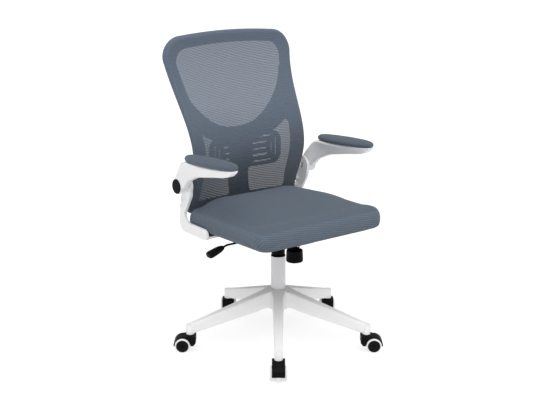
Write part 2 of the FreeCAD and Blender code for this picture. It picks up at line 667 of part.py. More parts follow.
TUBE_LOW = f"({HUB_LOW} - tube_drop)"
TUBE_SEAT = f"({TUBE_LOW} + tube_floor)"
ROD_LOW = f"({TUBE_LOW} - rod_tail)"
ROD_COLLAR = f"({TUBE_SEAT} + bearing_h)"
GAS_TOP = "box_floor"
GAS_LOW = f"({GAS_TOP} - gas_len)"
PISTON_LOW = f"({GAS_LOW} + gas_end + lift_travel + 4)"
PIN_SEAT = f"({GAS_TOP} - pin_h + pin_out - 5)"


def ring_section(inner, outer, low, high):
    """Half section of a plain ring."""
    return [(inner, low), (outer, low), (outer, high), (inner, high)]


def column():
    floor_bore, inside = "rod_r + cut_margin", "tube_r - tube_wall"
    node("column_tube", turned("tube", [
        (floor_bore, TUBE_LOW), ("tube_r", TUBE_LOW), ("tube_r", "tube_top"), (inside, "tube_top"),
        (inside, TUBE_SEAT), (floor_bore, TUBE_SEAT)]))
    inner, outer, lip = "gas_r + running_gap", "tube_r - tube_wall - push_gap", "tube_top + bush_lip"
    node("guide_bush", turned("bush", [
        (inner, "tube_top - bush_h"), (outer, "tube_top - bush_h"),
        (outer, "tube_top"), ("tube_r - 1", "tube_top"),
        ("tube_r - 1", lip + " - 1"), ("tube_r - 2", lip), (inner, lip)]))
    rod_bore = "rod_r + running_gap"
    node("thrust_bearing", turned("bearing", ring_section(rod_bore, "bearing_r", TUBE_SEAT, ROD_COLLAR)))
    collar_r, collar_top = "bearing_r - 2", ROD_COLLAR + " + rod_collar_h"
    piston_r, piston_top = "gas_r - gas_wall - running_gap", PISTON_LOW + " + piston_h"
    node("piston_rod", turned("rod", [
        ("0", ROD_LOW), ("rod_r", ROD_LOW), ("rod_r", ROD_COLLAR),
        (collar_r, ROD_COLLAR), (collar_r, collar_top),
        ("rod_r", collar_top), ("rod_r", PISTON_LOW), (piston_r, PISTON_LOW), (piston_r, piston_top),
        ("0", piston_top)]))
    clip = ROD_LOW + " + clip_low"
    node("rod_clip", turned("clip", ring_section(
        "rod_r + push_gap", "rod_r + rod_clip_out", clip, clip + " + rod_clip_h")))
    bore, pin_bore = "gas_r - gas_wall", "pin_r + running_gap"
    bore_low, bore_top = GAS_LOW + " + gas_end", GAS_TOP + " - gas_end - pin_h"
    node("gas_cylinder", turned("gas", [
        (rod_bore, GAS_LOW), ("gas_r", GAS_LOW), ("gas_r", GAS_TOP),
        (pin_bore, GAS_TOP), (pin_bore, PIN_SEAT),
        ("0", PIN_SEAT), ("0", bore_top), (bore, bore_top), (bore, bore_low), (rod_bore, bore_low)]))
    node("release_pin", cylinder("pin", "pin_r", "pin_h", z=GAS_TOP + " + pin_out - pin_h"))


# Tilt mechanism under the seat

HOUSING_TOP = "tilt_z + ear_r - housing_lip"
SHAFT_SPAN = "(box_w + 2 * ear_gap + 2 * ear_t + 2 * shaft_out)"
SHAFT_START = f"-{SHAFT_SPAN} / 2"


def tilt_mechanism():
    channel = padded("housing_block", "YZ_Plane", [
        ("box_front", "box_floor"), ("box_rear", "box_floor"), ("box_rear", "box_floor + box_rear_h"),
        ("lever_y + lever_bush_w / 2 + slot_wall", "lever_z + lever_bush_h / 2 + slot_wall_h"),
        ("tilt_y + ear_r", HOUSING_TOP), ("tilt_y - ear_r", HOUSING_TOP),
        ("box_front", "tilt_z + housing_lip")], "box_w", both=True)
    hollow = box("housing_hollow", "box_w - 2 * box_t", "box_rear - box_front - 2 * box_t", "box_w",
                 "box_t - box_w / 2", "box_front + box_t", "box_floor + box_t")
    socket = cylinder("socket", "socket_r", "socket_h + box_t", z="box_floor - socket_h")
    raw = fused("housing_raw", [cut("housing_tray", channel, hollow), socket])
    bush_slot = box("lever_slot", "box_t + 2 * cut_margin", "lever_bush_w + 2 * guide_gap",
                    "lever_bush_h + 2 * guide_gap", "-box_w / 2 - cut_margin",
                    "lever_y - lever_bush_w / 2 - guide_gap", "lever_z - lever_bush_h / 2 - guide_gap")
    relief = box("lever_relief", "2 * lever_inner + 2 * relief_end", "2 * lever_r + 2 * cut_margin",
                 "box_t + 2 * cut_margin", "-lever_inner - relief_end", "lever_y - lever_r - cut_margin",
                 "box_floor - relief_drop")
    bore = cylinder("socket_bore", "gas_r + push_gap", "socket_h + box_t + 2 * cut_margin",
                    z="box_floor - socket_h - cut_margin")
    bolt_slot = cylinder("bolt_slot", "bolt_r + bolt_swing", "box_t + 4 * cut_margin", y="knob_y",
                         z="box_floor - 2 * cut_margin")
    shaft_holes = cylinder("shaft_holes", "shaft_r + push_gap", "box_w + 4 * cut_margin",
                           "-box_w / 2 - 2 * cut_margin", "tilt_y", "tilt_z", "x")
    holes = fused("housing_holes", [relief, bore, bush_slot, bolt_slot, shaft_holes])
    node("tilt_housing", cut("housing", raw, holes))
    node("tilt_shaft", cylinder("shaft", "shaft_r", SHAFT_SPAN, SHAFT_START, "tilt_y", "tilt_z", "x"))


def seat_plate():
    """Steel plate at the seat rake with two ears on the tilt shaft."""
    level = padded("plate_sheet", "XY_Plane", [
        ("-plate_w / 2", "plate_front + plate_bevel_y"), ("-plate_w / 2 + plate_bevel_x", "plate_front"),
        ("plate_w / 2 - plate_bevel_x", "plate_front"), ("plate_w / 2", "plate_front + plate_bevel_y"),
        ("plate_w / 2", "plate_rear"), ("-plate_w / 2", "plate_rear")], "plate_t", "-pan_t - plate_t")
    pieces = [moved_by_rake(level)]
    plate_low = "seat_low - pan_t - plate_t"
    for side, name in ((1, "left"), (-1, "right")):
        start = "box_w / 2 + ear_gap" if side > 0 else "-box_w / 2 - ear_gap - ear_t"
        pieces.append(padded(f"ear_{name}", "YZ_Plane", [
            ("tilt_y - ear_r", "tilt_z"), ("tilt_y - ear_r * 0.6", "tilt_z - ear_r * 0.8"),
            ("tilt_y + ear_r * 0.6", "tilt_z - ear_r * 0.8"), ("tilt_y + ear_r", "tilt_z"),
            ("tilt_y + ear_r + ear_spread", plate_low + " + ear_rear_up"),
            ("tilt_y - ear_r - ear_spread", plate_low + " + ear_front_up")], "ear_t", start))
    ear_bore = "shaft_r + running_gap"
    ear_holes = cylinder("ear_holes", ear_bore, SHAFT_SPAN, SHAFT_START, "tilt_y", "tilt_z", "x")
    bolt_hole = cylinder("plate_bolt_hole", "bolt_r + push_gap", "4 * pan_t", y="knob_y",
                         z="seat_low - 3 * pan_t")
    holes = [ear_holes, bolt_hole, screw_holes("plate_holes", plate_screw_places(), size.screw_gap)]
    node("seat_plate", cut("plate", fused("plate_raw", pieces), fused("plate_cutters", holes)))


def plate_screw_places():
    """Places of the four plate screws, level seat axes with z 0 under the cushion."""
    rows = (size.plate_screw_front, size.plate_screw_rear)
    return [(x, y) for x in (-size.plate_screw_x, size.plate_screw_x) for y in rows]


def foot_screw_places():
    """Places of the bracket foot screws, level seat axes."""
    x = size.bracket_in - size.foot_reach + size.foot_screw_in
    front = size.bracket_front + size.foot_screw_front
    rear = size.bracket_front + size.foot_len - size.foot_screw_rear
    one_side = [(x, front), (x, rear), (x + size.foot_screw_step, rear)]
    return [(side * dx, y) for side in (-1, 1) for dx, y in one_side]


def screw_holes(name, places, gap):
    """Upright hole cutters at the seat rake through plate, foot and pan."""
    low, length = -size.pan_t - 2 * size.foot_t, 2 * (size.pan_t + size.foot_t)
    holes = [Part.makeCylinder(size.screw_r + gap, length, Vector(x, y, low)) for x, y in places]
    return moved_by_rake(solid(name, Part.makeCompound(holes)))


def screws(name, places, head_z):
    """Screws pointing up into the pan; head underside level given."""
    made = []
    for x, y in places:
        shank = Part.makeCylinder(size.screw_r, -head_z - size.screw_short, Vector(x, y, head_z))
        head_low = Vector(x, y, head_z - size.screw_head_h)
        head = Part.makeCylinder(size.screw_head_r, size.screw_head_h, head_low)
        made.append(shank.fuse(head).removeSplitter())
    return moved_by_rake(solid(name, Part.makeCompound(made)))


KNOB_FLOOR = "(knob_low + knob_floor)"
KNOB_TOP = "(knob_low + knob_h)"
KNOB_STOP = "(knob_low + knob_foot_h)"
WASHER_LOW = f"({KNOB_FLOOR} + washer_gap)"
BOLT_BORE = "bolt_r + running_gap"
BOLT_LOW = "knob_low + bolt_low"
BOLT_TOP = "(seat_low - pan_t + bolt_head_up)"


def tension_gear():
    """Knob, bolt, washer and spring in front of the column."""
    inside = "knob_top_r - knob_wall"
    knob = turned("knob_body", [
        ("0", "knob_low"), ("knob_r - knob_bevel", "knob_low"), ("knob_r", KNOB_STOP),
        ("knob_top_r", KNOB_TOP + " - knob_lip"), ("knob_top_r - knob_lip", KNOB_TOP), (inside, KNOB_TOP),
        (inside, KNOB_FLOOR), (BOLT_BORE, KNOB_FLOOR), (BOLT_BORE, KNOB_STOP), ("0", KNOB_STOP)])
    place(knob, y="knob_y")
    flutes = []
    for k in range(int(size.flute_count)):
        angle = f"({k} * 360 / flute_count * 1 deg)"
        x, y = f"(knob_r + flute_out) * cos{angle}", f"knob_y + (knob_r + flute_out) * sin{angle}"
        flutes.append(cylinder(f"flute_{k + 1}", "flute_r", "knob_h", x, y, "knob_low + flute_low"))
    node("tension_knob", cut("knob", knob, fused("flutes", flutes)))
    washer = ring_section(BOLT_BORE, inside + " - washer_play", WASHER_LOW, WASHER_LOW + " + washer_t")
    node("tension_washer", place(turned("washer", washer), y="knob_y"))
    head_r, head_top = "bolt_r + bolt_head_out", BOLT_TOP + " + bolt_head_h"
    node("tension_bolt", place(turned("bolt", [
        ("0", BOLT_LOW), ("bolt_r", BOLT_LOW), ("bolt_r", BOLT_TOP), (head_r, BOLT_TOP), (head_r, head_top),
        ("0", head_top)]), y="knob_y"))
    washer_top = size.knob_low + size.knob_floor + size.washer_gap + size.washer_t
    seat_gap = size.spring_wire_r + size.washer_gap
    node("tension_spring", coil(washer_top + seat_gap, size.box_floor - seat_gap))


def coil(low, high):
    """Open coil of round wire round the tension bolt, in quarter turns."""
    steps = int(size.spring_turns * 4)
    rise = (high - low) / steps

    def point(step):
        angle = step * math.pi / 2
        return Vector(size.spring_r * math.cos(angle), size.spring_r * math.sin(angle), low + rise * step)

    arcs = [Part.Arc(point(k), point(k + 0.5), point(k + 1)).toShape() for k in range(steps)]
    start = arcs[0].tangentAt(arcs[0].FirstParameter)
    section = Part.Wire(Part.makeCircle(size.spring_wire_r, point(0), start))
    shape = Part.Wire(arcs).makePipeShell([section], True, False)
    return place(solid("coil", shape), y="knob_y")


# Height lever on the sitter's right

# Share of the handle length, of its width and of its height, from the rod to the free end
HANDLE_SECTIONS = (
    (0, 0.5, 0.6), (0.1, 0.6, 0.8), (0.35, 0.85, 1), (0.7, 1, 1), (0.93, 1, 0.92), (1, 0.9, 0.74))
HANDLE_ROUNDING = 0.7
BUSH_X = "-lever_pivot_x - lever_bush_len / 2"
BUSH_Y = "lever_y - lever_bush_w / 2"
BUSH_LOW = "lever_z - lever_bush_h / 2"


def lever():
    drop = math.radians(size.lever_drop_angle)
    inner = Vector(size.lever_inner, 0, 0)
    bend = Vector(-size.lever_straight, 0, 0)
    along = Vector(-math.cos(drop), 0, -math.sin(drop))
    reach = size.lever_bend_r * math.tan(drop / 2)
    before, after = bend + Vector(reach, 0, 0), bend + along * reach
    centre = before - Z_AXIS * size.lever_bend_r
    halfway = centre + Vector(-math.sin(drop / 2), 0, math.cos(drop / 2)) * size.lever_bend_r
    end = bend + along * size.lever_tail
    turn = Part.Arc(before, halfway, after).toShape()
    path = Part.Wire([Part.makeLine(inner, before), turn, Part.makeLine(after, end)])
    rod = path.makePipeShell([Part.Wire(Part.makeCircle(size.lever_r, inner, X_AXIS))], True, False)
    pin_len = size.lever_bush_w - size.cut_margin
    pin = Part.makeCylinder(size.cross_pin_r, pin_len, Vector(-size.lever_pivot_x, -pin_len / 2, 0), Y_AXIS)
    bar = solid("lever_rod_shape", rod.fuse(pin).removeSplitter())
    node("lever_rod", place(bar, y="lever_y", z="lever_z"))
    lever_bush()
    node("lever_handle", place(solid("handle", handle(after, along)), y="lever_y", z="lever_z"))


def lever_bush():
    """Forked block that holds the lever in the housing wall."""
    block = box("bush_block", "lever_bush_len", "lever_bush_w", "lever_bush_h", BUSH_X, BUSH_Y, BUSH_LOW)
    fork_w, fork_y = "2 * lever_r + 2 * lever_play", "lever_y - lever_r - lever_play"
    gap = box("bush_gap", "lever_bush_len + 2 * cut_margin", fork_w, "lever_bush_h + 2 * cut_margin",
              BUSH_X + " - cut_margin", fork_y, BUSH_LOW + " - cut_margin")
    bridge = box("bush_bridge", "bridge_len", fork_w, "bridge_h", "-lever_pivot_x - bridge_len / 2",
                 fork_y, BUSH_LOW)
    eye = cylinder("bush_eye", "cross_pin_r + running_gap", "lever_bush_w + 2 * cut_margin", "-lever_pivot_x",
                   BUSH_Y + " - cut_margin", "lever_z", "y")
    fork = fused("lever_bush_raw", [cut("lever_bush_fork", block, gap), bridge])
    node("lever_bush", cut("lever_bush_cut", fork, eye))


def handle(start, along):
    """Paddle grip on the bent end of the lever rod."""
    up = Vector(along.z, 0, -along.x)
    sections = []
    for share, wide, tall in HANDLE_SECTIONS:
        at = start + along * (size.handle_start + share * size.handle_len)
        half_w, half_h = size.handle_w / 2 * wide, size.handle_h / 2 * tall
        radii = [half_h * HANDLE_ROUNDING] * 4
        sections.append(round_corners(oblong(half_w, half_h), radii, lambda p: at + Y_AXIS * p.x + up * p.y))
    grip = Part.makeLoft(sections, True, False)
    return grip.cut(Part.makeCylinder(size.lever_r + size.push_gap, size.lever_tail, start, along))


# Seat

# Shares of the draw-in and of the cushion height, from the underside up to the widest part
SEAT_BULGE = ((1, 0), (0.4, 0.11), (0.08, 0.27), (0, 0.44))
# Shares of the crown inset and of the cushion height, from the widest part up to the flat top
SEAT_CROWN = ((0.012, 0.62), (0.05, 0.79), (0.12, 0.89), (0.27, 0.955), (0.58, 0.985), (1, 1))
# Tightening of the corners with an inset
SEAT_TIGHTENING = 0.3


def seat_outline(inset, z):
    """Rounded plan outline of the seat drawn in by an inset, at a height over the pan."""
    places = size.seat_front + inset, size.seat_waist_y, size.seat_rear - inset
    widths = size.seat_front_w, size.seat_waist_w, size.seat_rear_w
    right = [Vector(width / 2 - inset, y, 0) for width, y in zip(widths, places)]
    left = [Vector(-p.x, p.y, 0) for p in reversed(right)]
    tighter = inset * SEAT_TIGHTENING
    front_r, rear_r = [max(r - tighter, size.seat_least_r) for r in (size.seat_corner_r, size.seat_rear_r)]
    radii = [front_r, size.seat_waist_r, rear_r, rear_r, size.seat_waist_r, front_r]
    return round_corners(right + left, radii, lambda p: Vector(p.x, p.y, z))


def cushion():
    """Crowned cushion with its sides drawn in below."""
    levels = [(size.seat_draw_in * share, height) for share, height in SEAT_BULGE]
    levels += [(size.crown_inset * share, height) for share, height in SEAT_CROWN]
    return Part.makeLoft([seat_outline(inset, height * size.seat_h) for inset, height in levels], True, True)


def seat():
    node("seat_cushion", moved_by_rake(solid("cushion", cushion())))
    plan = seat_outline(size.pan_inset, -size.pan_t)
    board = Part.Face(plan).extrude(Vector(0, 0, size.pan_t - size.pan_gap))
    pan = moved_by_rake(solid("pan_board", board))
    pocket = cylinder("bolt_head_pocket", "bolt_r + bolt_pocket", "4 * pan_t", y="knob_y",
                      z="seat_low - 2 * pan_t")
    bores = screw_holes("pan_holes", plate_screw_places() + foot_screw_places(), size.push_gap)
    node("seat_pan", cut("pan", pan, fused("pan_cutters", [bores, pocket])))
    node("seat_screws", screws("plate_screws", plate_screw_places(), -size.pan_t - size.plate_t))
    node("foot_screws", screws("bracket_foot_screws", foot_screw_places(), -size.pan_t - size.foot_t))


# Arm brackets and arms, built on the +x side and mirrored

BACK_HEAD_H = "screw_head_h * 0.7"
BACK_HEAD_X = f"bracket_in + bracket_t - {BACK_HEAD_H}"
POST_LEAN = "bracket_post_w * 0.97"
FOOT_TOP = "(bracket_low + bracket_foot_h)"


def back_screw_places():
    """Places of the two back screws on one side, in the middle of the rail depth."""
    heights = [size.hip_z + size.back_screw_low, size.hip_z + size.back_screw_high]
    return [(str(back_face_y(z) + size.rail_d / 2), str(z)) for z in heights]


def across_at(*places):
    """Test for edges that run across the chair at places given as (y, z)."""
    def wanted(middle, ends):
        near = [math.hypot(middle.y - y, middle.z - z) < size.cut_margin for y, z in places]
        return abs(ends.x) > size.cut_margin and any(near)

    return wanted


def bracket_post():
    """Leaning post with its foot, rounded at its bends."""
    inner = f"bracket_rear + eye_blend - {POST_LEAN}"
    post = padded("bracket_post", "YZ_Plane", [
        ("bracket_front", "bracket_low"), ("bracket_rear", "bracket_low"),
        ("bracket_rear", "bracket_low + bracket_bend_r + heel_h"),
        ("pivot_y + neck_y", "pivot_z - neck_drop"),
        ("pivot_y + eye_r - eye_blend", "pivot_z"), ("pivot_y - eye_r + eye_blend", "pivot_z"),
        (f"pivot_y + eye_blend - {POST_LEAN}", "pivot_z - neck_drop"),
        (inner, FOOT_TOP + " + bracket_bend_r + post_step"), (inner, FOOT_TOP),
        ("bracket_front + toe_len", FOOT_TOP), ("bracket_front + toe_in", FOOT_TOP + " - toe_in")],
        "bracket_t", "bracket_in")
    foot_top = size.bracket_low + size.bracket_foot_h
    doc.recompute()
    corner_y = min((abs(v.Z - foot_top), abs(v.Y - size.bracket_rear), v.Y) for v in post.Shape.Vertexes)[2]
    rounded(post, across_at((size.bracket_rear, size.bracket_low), (corner_y, foot_top)), "bracket_bend_r")
    toe = size.bracket_front + size.toe_len
    return rounded(post, across_at((size.bracket_front, size.bracket_low), (toe, foot_top)), "bracket_kink_r")


def bracket():
    plate = box("bracket_foot", "foot_reach + 2 * cut_margin", "foot_len", "foot_t",
                "bracket_in - foot_reach", "bracket_front + foot_front", "-pan_t - foot_t")
    foot = moved_by_rake(compound("bracket_foot_raked", [plate]))
    eye = cylinder("bracket_eye", "eye_r", "bracket_t", "bracket_in", "pivot_y", "pivot_z", "x")
    pieces, holes = [bracket_post(), foot, eye], []
    hole_r, hole_len = "screw_r + push_gap", "2 * (bracket_in + bracket_t - back_low_half)"
    for k, (y, z) in enumerate(back_screw_places(), 1):
        boss_len, hole_x = "bracket_in - back_low_half + cut_margin", "back_low_half - back_screw_bite"
        pieces.append(cylinder(f"back_boss_{k}", "boss_r", boss_len, "back_low_half", y, z, "x"))
        holes.append(cylinder(f"back_screw_hole_{k}", hole_r, hole_len, hole_x, y, z, "x"))
        room_r = "screw_head_r + hub_gap"
        holes.append(cylinder(f"back_head_room_{k}", room_r, "screw_head_h", BACK_HEAD_X, y, z, "x"))
    holes.append(cylinder("pivot_hole", "pivot_r + push_gap", "bracket_t + 4 * cut_margin",
                          "bracket_in - 2 * cut_margin", "pivot_y", "pivot_z", "x"))
    holes.append(screw_holes("foot_holes", foot_screw_places(), size.push_gap))
    raw = fused("bracket_raw", pieces)
    doc.recompute()
    face_x = size.bracket_in + size.bracket_t
    edges = [number for number, edge in enumerate(raw.Shape.Edges, 1)
             if all(abs(v.X - face_x) < NEAR_FACE for v in edge.Vertexes)]
    soft = doc.addObject("Part::Fillet", "bracket_soft")
    soft.Base = raw
    soft.Edges = [(number, size.bracket_edge_r, size.bracket_edge_r) for number in edges]
    left = cut("bracket", soft, fused("bracket_holes", holes))
    node("arm_bracket_left", left)
    node("arm_bracket_right", mirrored("bracket_twin", left))


# Rounding of an arm section as a share of its half width, and less of it on top
ARM_ROUNDING = 0.62
ARM_TOP_ROUNDING = 0.6


def arm_section(top, low, wide, narrow, x):
    """Rounded section of the arm between a top and a low point given as (y, z)."""
    top, low = Vector(x, *top), Vector(x, *low)
    down = low - top
    half = down.Length / 2
    middle = (top + low) / 2
    down.normalize()
    radius = min(narrow, wide, half) * ARM_ROUNDING
    radii = [radius * ARM_TOP_ROUNDING, radius * ARM_TOP_ROUNDING, radius, radius]
    return round_corners(oblong(wide, half, narrow), radii, lambda p: middle + X_AXIS * p.x + down * p.y)


def raked_arm(thing):
    """Tip a level arm piece up at the front, about the arm pivot."""
    pivot = Vector(0, size.pivot_y, size.pivot_z)
    thing.Placement = Placement(Vector(), Rotation(X_AXIS, -size.arm_rake), pivot)
    return thing


def arm_shape():
    """Arm from its hub up the neck and forward under the pad, level."""
    y, z, seam = size.pivot_y, size.pivot_z, size.pad_low - size.pad_gap
    hub_x = size.bracket_in + size.bracket_t + size.hub_gap
    neck_x = hub_x + size.arm_hub_w / 2
    front = size.pad_y - size.pad_len / 2
    half = size.pad_w / 2
    lean = size.pad_x - neck_x
    sections = [
        arm_section((y + 23, z + 8), (y - 23, z - 6), 15, 15, neck_x),
        arm_section((y + 6, z + 36), (y - 42, z + 6), 15.4, 15, neck_x),
        arm_section((y - 18, z + 62), (y - 66, z + 25), 17, 15, neck_x + lean * 0.3),
        arm_section((y - 48, seam - 9), (y - 92, seam - 59), 23, 16, neck_x + lean * 0.7),
        arm_section((y - 84, seam), (y - 120, seam - 49), half * 0.82, 17, size.pad_x),
        arm_section((y - 145, seam), (y - 158, seam - 42), half - 1.5, 17, size.pad_x),
        arm_section((y - 210, seam), (y - 216, seam - 34), half - 2.5, 17, size.pad_x),
        arm_section((front + 46, seam), (front + 44, seam - 24), half * 0.72, 15, size.pad_x),
        arm_section((front + 8, seam), (front + 9, seam - 7), half * 0.34, 9, size.pad_x),
    ]
    length = size.pad_len
    above = Part.makeBox(length, 2 * length, length, Vector(size.pad_x - length / 2, y - 1.5 * length, seam))
    body = Part.makeLoft(sections, True, False).cut(above)
    hub = Part.makeCylinder(size.arm_hub_r, size.arm_hub_w, Vector(hub_x, y, z), X_AXIS)
    bore_x, bore_len = hub_x - size.cut_margin, size.arm_hub_w + 2 * size.cut_margin
    bore = Part.makeCylinder(size.pivot_r + size.running_gap, bore_len, Vector(bore_x, y, z), X_AXIS)
    room_x, room_len = hub_x + size.arm_hub_w - size.nut_deep, size.nut_deep + 2 * size.cut_margin
    room = Part.makeCylinder(size.pivot_r + size.nut_out, room_len, Vector(room_x, y, z), X_AXIS)
    return body.fuse(hub).cut(bore.fuse(room)).removeSplitter()


def arm():
    left = raked_arm(solid("arm_shape", arm_shape()))
    node("arm_left", left)
    node("arm_right", mirrored("arm_twin", left))
    cap_r, hub_end = "arm_hub_r - cap_in", "bracket_t + hub_gap + arm_hub_w"
    across = Rotation(Y_AXIS, 90)
    cap = place(turned("cap", [
        ("0", "0"), (cap_r, "0"), (cap_r, "cap_t - cap_bevel"), ("arm_hub_r - 2 * cap_in", "cap_t"),
        ("0", "cap_t")]), f"bracket_in + {hub_end} + cap_gap", "pivot_y", "pivot_z", across)
    node("arm_cap_left", cap)
    node("arm_cap_right", mirrored("cap_twin", cap))
    head_r, end = "pivot_r + pivot_head_out", f"{hub_end} + pivot_end"
    pivot = place(turned("pivot", [
        ("0", "0"), (head_r, "0"), (head_r, "pivot_head_h"), ("pivot_r", "pivot_head_h"), ("pivot_r", end),
        ("0", end)]), "bracket_in - pivot_head_h - pivot_head_gap", "pivot_y", "pivot_z", across)
    node("arm_pivot_left", pivot)
    node("arm_pivot_right", mirrored("pivot_twin", pivot))


# Power of the pad's oval: 2 is an ellipse, more is blunter
PAD_BLUNT = 2.1
# Shares of the pad's half width and of its height
PAD_SECTIONS = ((0.93, 0), (0.985, 0.18), (1, 0.36), (0.97, 0.58), (0.86, 0.8), (0.62, 0.95), (0.4, 1))
# Trim of the pad's ends for each millimetre off its sides
PAD_END_TRIM = 1.4


def oval(centre, half_x, half_y):
    """Closed oval of four arcs; ends a little blunter than an ellipse."""
    def point(turn):
        c, s = math.cos(math.radians(turn)), math.sin(math.radians(turn))
        blunt = (abs(c) ** PAD_BLUNT + abs(s) ** PAD_BLUNT) ** (-1 / PAD_BLUNT)
        return centre + Vector(half_x * c * blunt, half_y * s * blunt, 0)

    starts = range(-45, 315, 90)
    arcs = [Part.Arc(point(start), point(start + 45), point(start + 90)) for start in starts]
    return Part.Wire([arc.toShape() for arc in arcs])


def arm_pad():
    wires = []
    for share, height in PAD_SECTIONS:
        trim = (1 - share) * size.pad_w / 2
        centre = Vector(size.pad_x, size.pad_y, size.pad_low + height * size.pad_h)
        wires.append(oval(centre, size.pad_w / 2 - trim, size.pad_len / 2 - trim * PAD_END_TRIM))
    pad = raked_arm(solid("pad", Part.makeLoft(wires, True, False)))
    node("arm_pad_left", pad)
    node("arm_pad_right", mirrored("pad_twin", pad))


# Back frame, mesh and lumbar support

# Widening of the back halfway up its flare, and how far its corners tighten with an inset
BACK_FLARE = 0.25
CORNER_TIGHTENING = 0.6
FOOT_TIGHTENING = 0.5
# Cuts through the back start well ahead of it and end well behind it
THROUGH_START = 60
THROUGH_DEPTH = 360
# Yoke sections from its foot to its head, and how the bow grows from the foot to the waist
YOKE_SECTIONS = 8
YOKE_BOW_START = 0.1
YOKE_BOW_GAIN = 1.1
# Half widths of the upper window at its round flank and foot, and of a lower window at its arch
SHIELD_FLANK = 0.7
SHIELD_FOOT = 0.36
ARCH_AT = 0.72
# Rows of slots in the lumbar pad: level from the middle, and slot end from the pad's end
LUMBAR_ROWS = ((-2, 42), (-1, 58), (0, 62), (1, 58), (2, 42))
WIDE_ROW, WIDE_SLOT = -1, 1.4
# Upright slots in the lumbar pad: distance from the pad's end, and length
LUMBAR_POSTS = ((23, 66), (41, 36))


def back_curve(shift):
    """Side curve of the back's front face, shifted to the rear."""
    stations = [
        (size.back_low_y, size.back_low - size.back_tail), (size.hip_y, size.hip_z),
        (size.waist_y, size.waist_z), (size.chest_y, size.chest_z),
        (size.back_top_y, size.back_top + size.back_crest)]
    curve = Part.BSplineCurve()
    curve.interpolate([Vector(0, y + shift, z) for y, z in stations])
    return curve


def back_face_y(z):
    """Front face of the back at a height."""
    level = Part.Plane(Vector(0, 0, z), Z_AXIS)
    return back_curve(0).intersect(level)[0][0].Y


def back_band(start, depth):
    """Curved slab of the back between two depths, wider than the back."""
    front, rear = back_curve(start), back_curve(start + depth)
    ends = [Part.makeLine(front.EndPoint, rear.EndPoint), Part.makeLine(front.StartPoint, rear.StartPoint)]
    face = Part.Face(Part.Wire(Part.__sortEdges__([front.toShape(), rear.toShape()] + ends)))
    reach = size.back_wide_half + size.rail_d
    face.translate(Vector(-reach, 0, 0))
    return face.extrude(Vector(2 * reach, 0, 0))


def mirrored_arcs(right):
    """Way back along the left side, as wire() takes it, for a right side from low to high."""
    ends = [step[1] if isinstance(step, tuple) else step for step in right]
    left = []
    for k in range(len(right) - 1, 0, -1):
        end = Vector(-ends[k - 1].x, 0, ends[k - 1].z)
        if isinstance(right[k], tuple):
            left.append((Vector(-right[k][0].x, 0, right[k][0].z), end))
        else:
            left.append(end)
    return left


def back_outline(inset):
    """Front outline of the back drawn in by an inset, as a closed wire at y 0."""
    low, top = size.back_low + inset, size.back_top - inset
    half, wide = size.back_low_half - inset, size.back_wide_half - inset
    corner = size.back_corner_r - inset * CORNER_TIGHTENING
    foot = size.back_low_r - inset * FOOT_TIGHTENING
    shoulder = top - size.shoulder_drop
    bend = size.waist_z - size.bend_drop
    cut_in = 1 - math.sqrt(0.5)
    flare = Vector(half + (wide - half) * BACK_FLARE, 0, (bend + size.back_shoulder_z) / 2)
    right = [
        Vector(half - foot, 0, low),
        (Vector(half - foot * cut_in, 0, low + foot * cut_in), Vector(half, 0, low + foot)),
        Vector(half, 0, bend),
        (flare, Vector(wide, 0, shoulder - corner)),
        (Vector(wide - corner * cut_in, 0, shoulder - corner * cut_in), Vector(wide - corner, 0, shoulder)),
    ]
    arch = (Vector(0, 0, top), Vector(corner - wide, 0, shoulder))
    return wire(right + [arch] + mirrored_arcs(right))


def through_y(face_wire):
    """Prism of a front outline from well ahead of the back to well behind it."""
    face = Part.Face(face_wire)
    face.translate(Vector(0, THROUGH_START, 0))
    return face.extrude(Vector(0, THROUGH_DEPTH, 0))


def yoke_panel():
    """Thin panel bowed to the rear between the rails, following the side curve."""
    half = size.back_wide_half - size.rail_w / 2
    low, high = size.back_low + size.yoke_low, size.chest_z + size.yoke_high
    sections = []
    for k in range(YOKE_SECTIONS):
        z = low + (high - low) * k / (YOKE_SECTIONS - 1)
        front = back_face_y(z) + size.yoke_set
        rear = front + size.yoke_t
        share = min(1, YOKE_BOW_START + YOKE_BOW_GAIN * (z - low) / (size.waist_z - low))
        middle = front + size.yoke_bow * share
        sections.append(wire([
            Vector(-half, front, z), (Vector(0, middle, z), Vector(half, front, z)), Vector(half, rear, z),
            (Vector(0, middle + size.yoke_t, z), Vector(-half, rear, z))]))
    return Part.makeLoft(sections, True, False)


def softened(face_wire, radius):
    """Outline with its corners rounded."""
    smaller = Part.Face(face_wire).makeOffset2D(-radius)
    return smaller.makeOffset2D(radius).OuterWire


def upper_window():
    """Shield shaped opening above the yoke."""
    half = size.back_wide_half - size.rail_w
    top = size.back_top - size.rail_w - size.window_top_in
    edge = size.yoke_edge_z
    shoulder = size.back_shoulder_z - size.window_drop
    foot_z = edge + size.shield_foot_h
    right = [
        Vector(half * SHIELD_FOOT, 0, foot_z),
        (Vector(half * SHIELD_FLANK, 0, edge + size.shield_h),
         Vector(half - size.window_side_in, 0, shoulder - size.window_side_h)),
        Vector(half, 0, shoulder),
        Vector(half - size.window_head_in, 0, top - size.window_head_drop),
    ]
    arch = (Vector(0, 0, top), Vector(-right[-1].x, 0, right[-1].z))
    foot = (Vector(0, 0, edge), right[0])
    return softened(wire(right + [arch] + mirrored_arcs(right) + [foot]), size.window_corner_r)


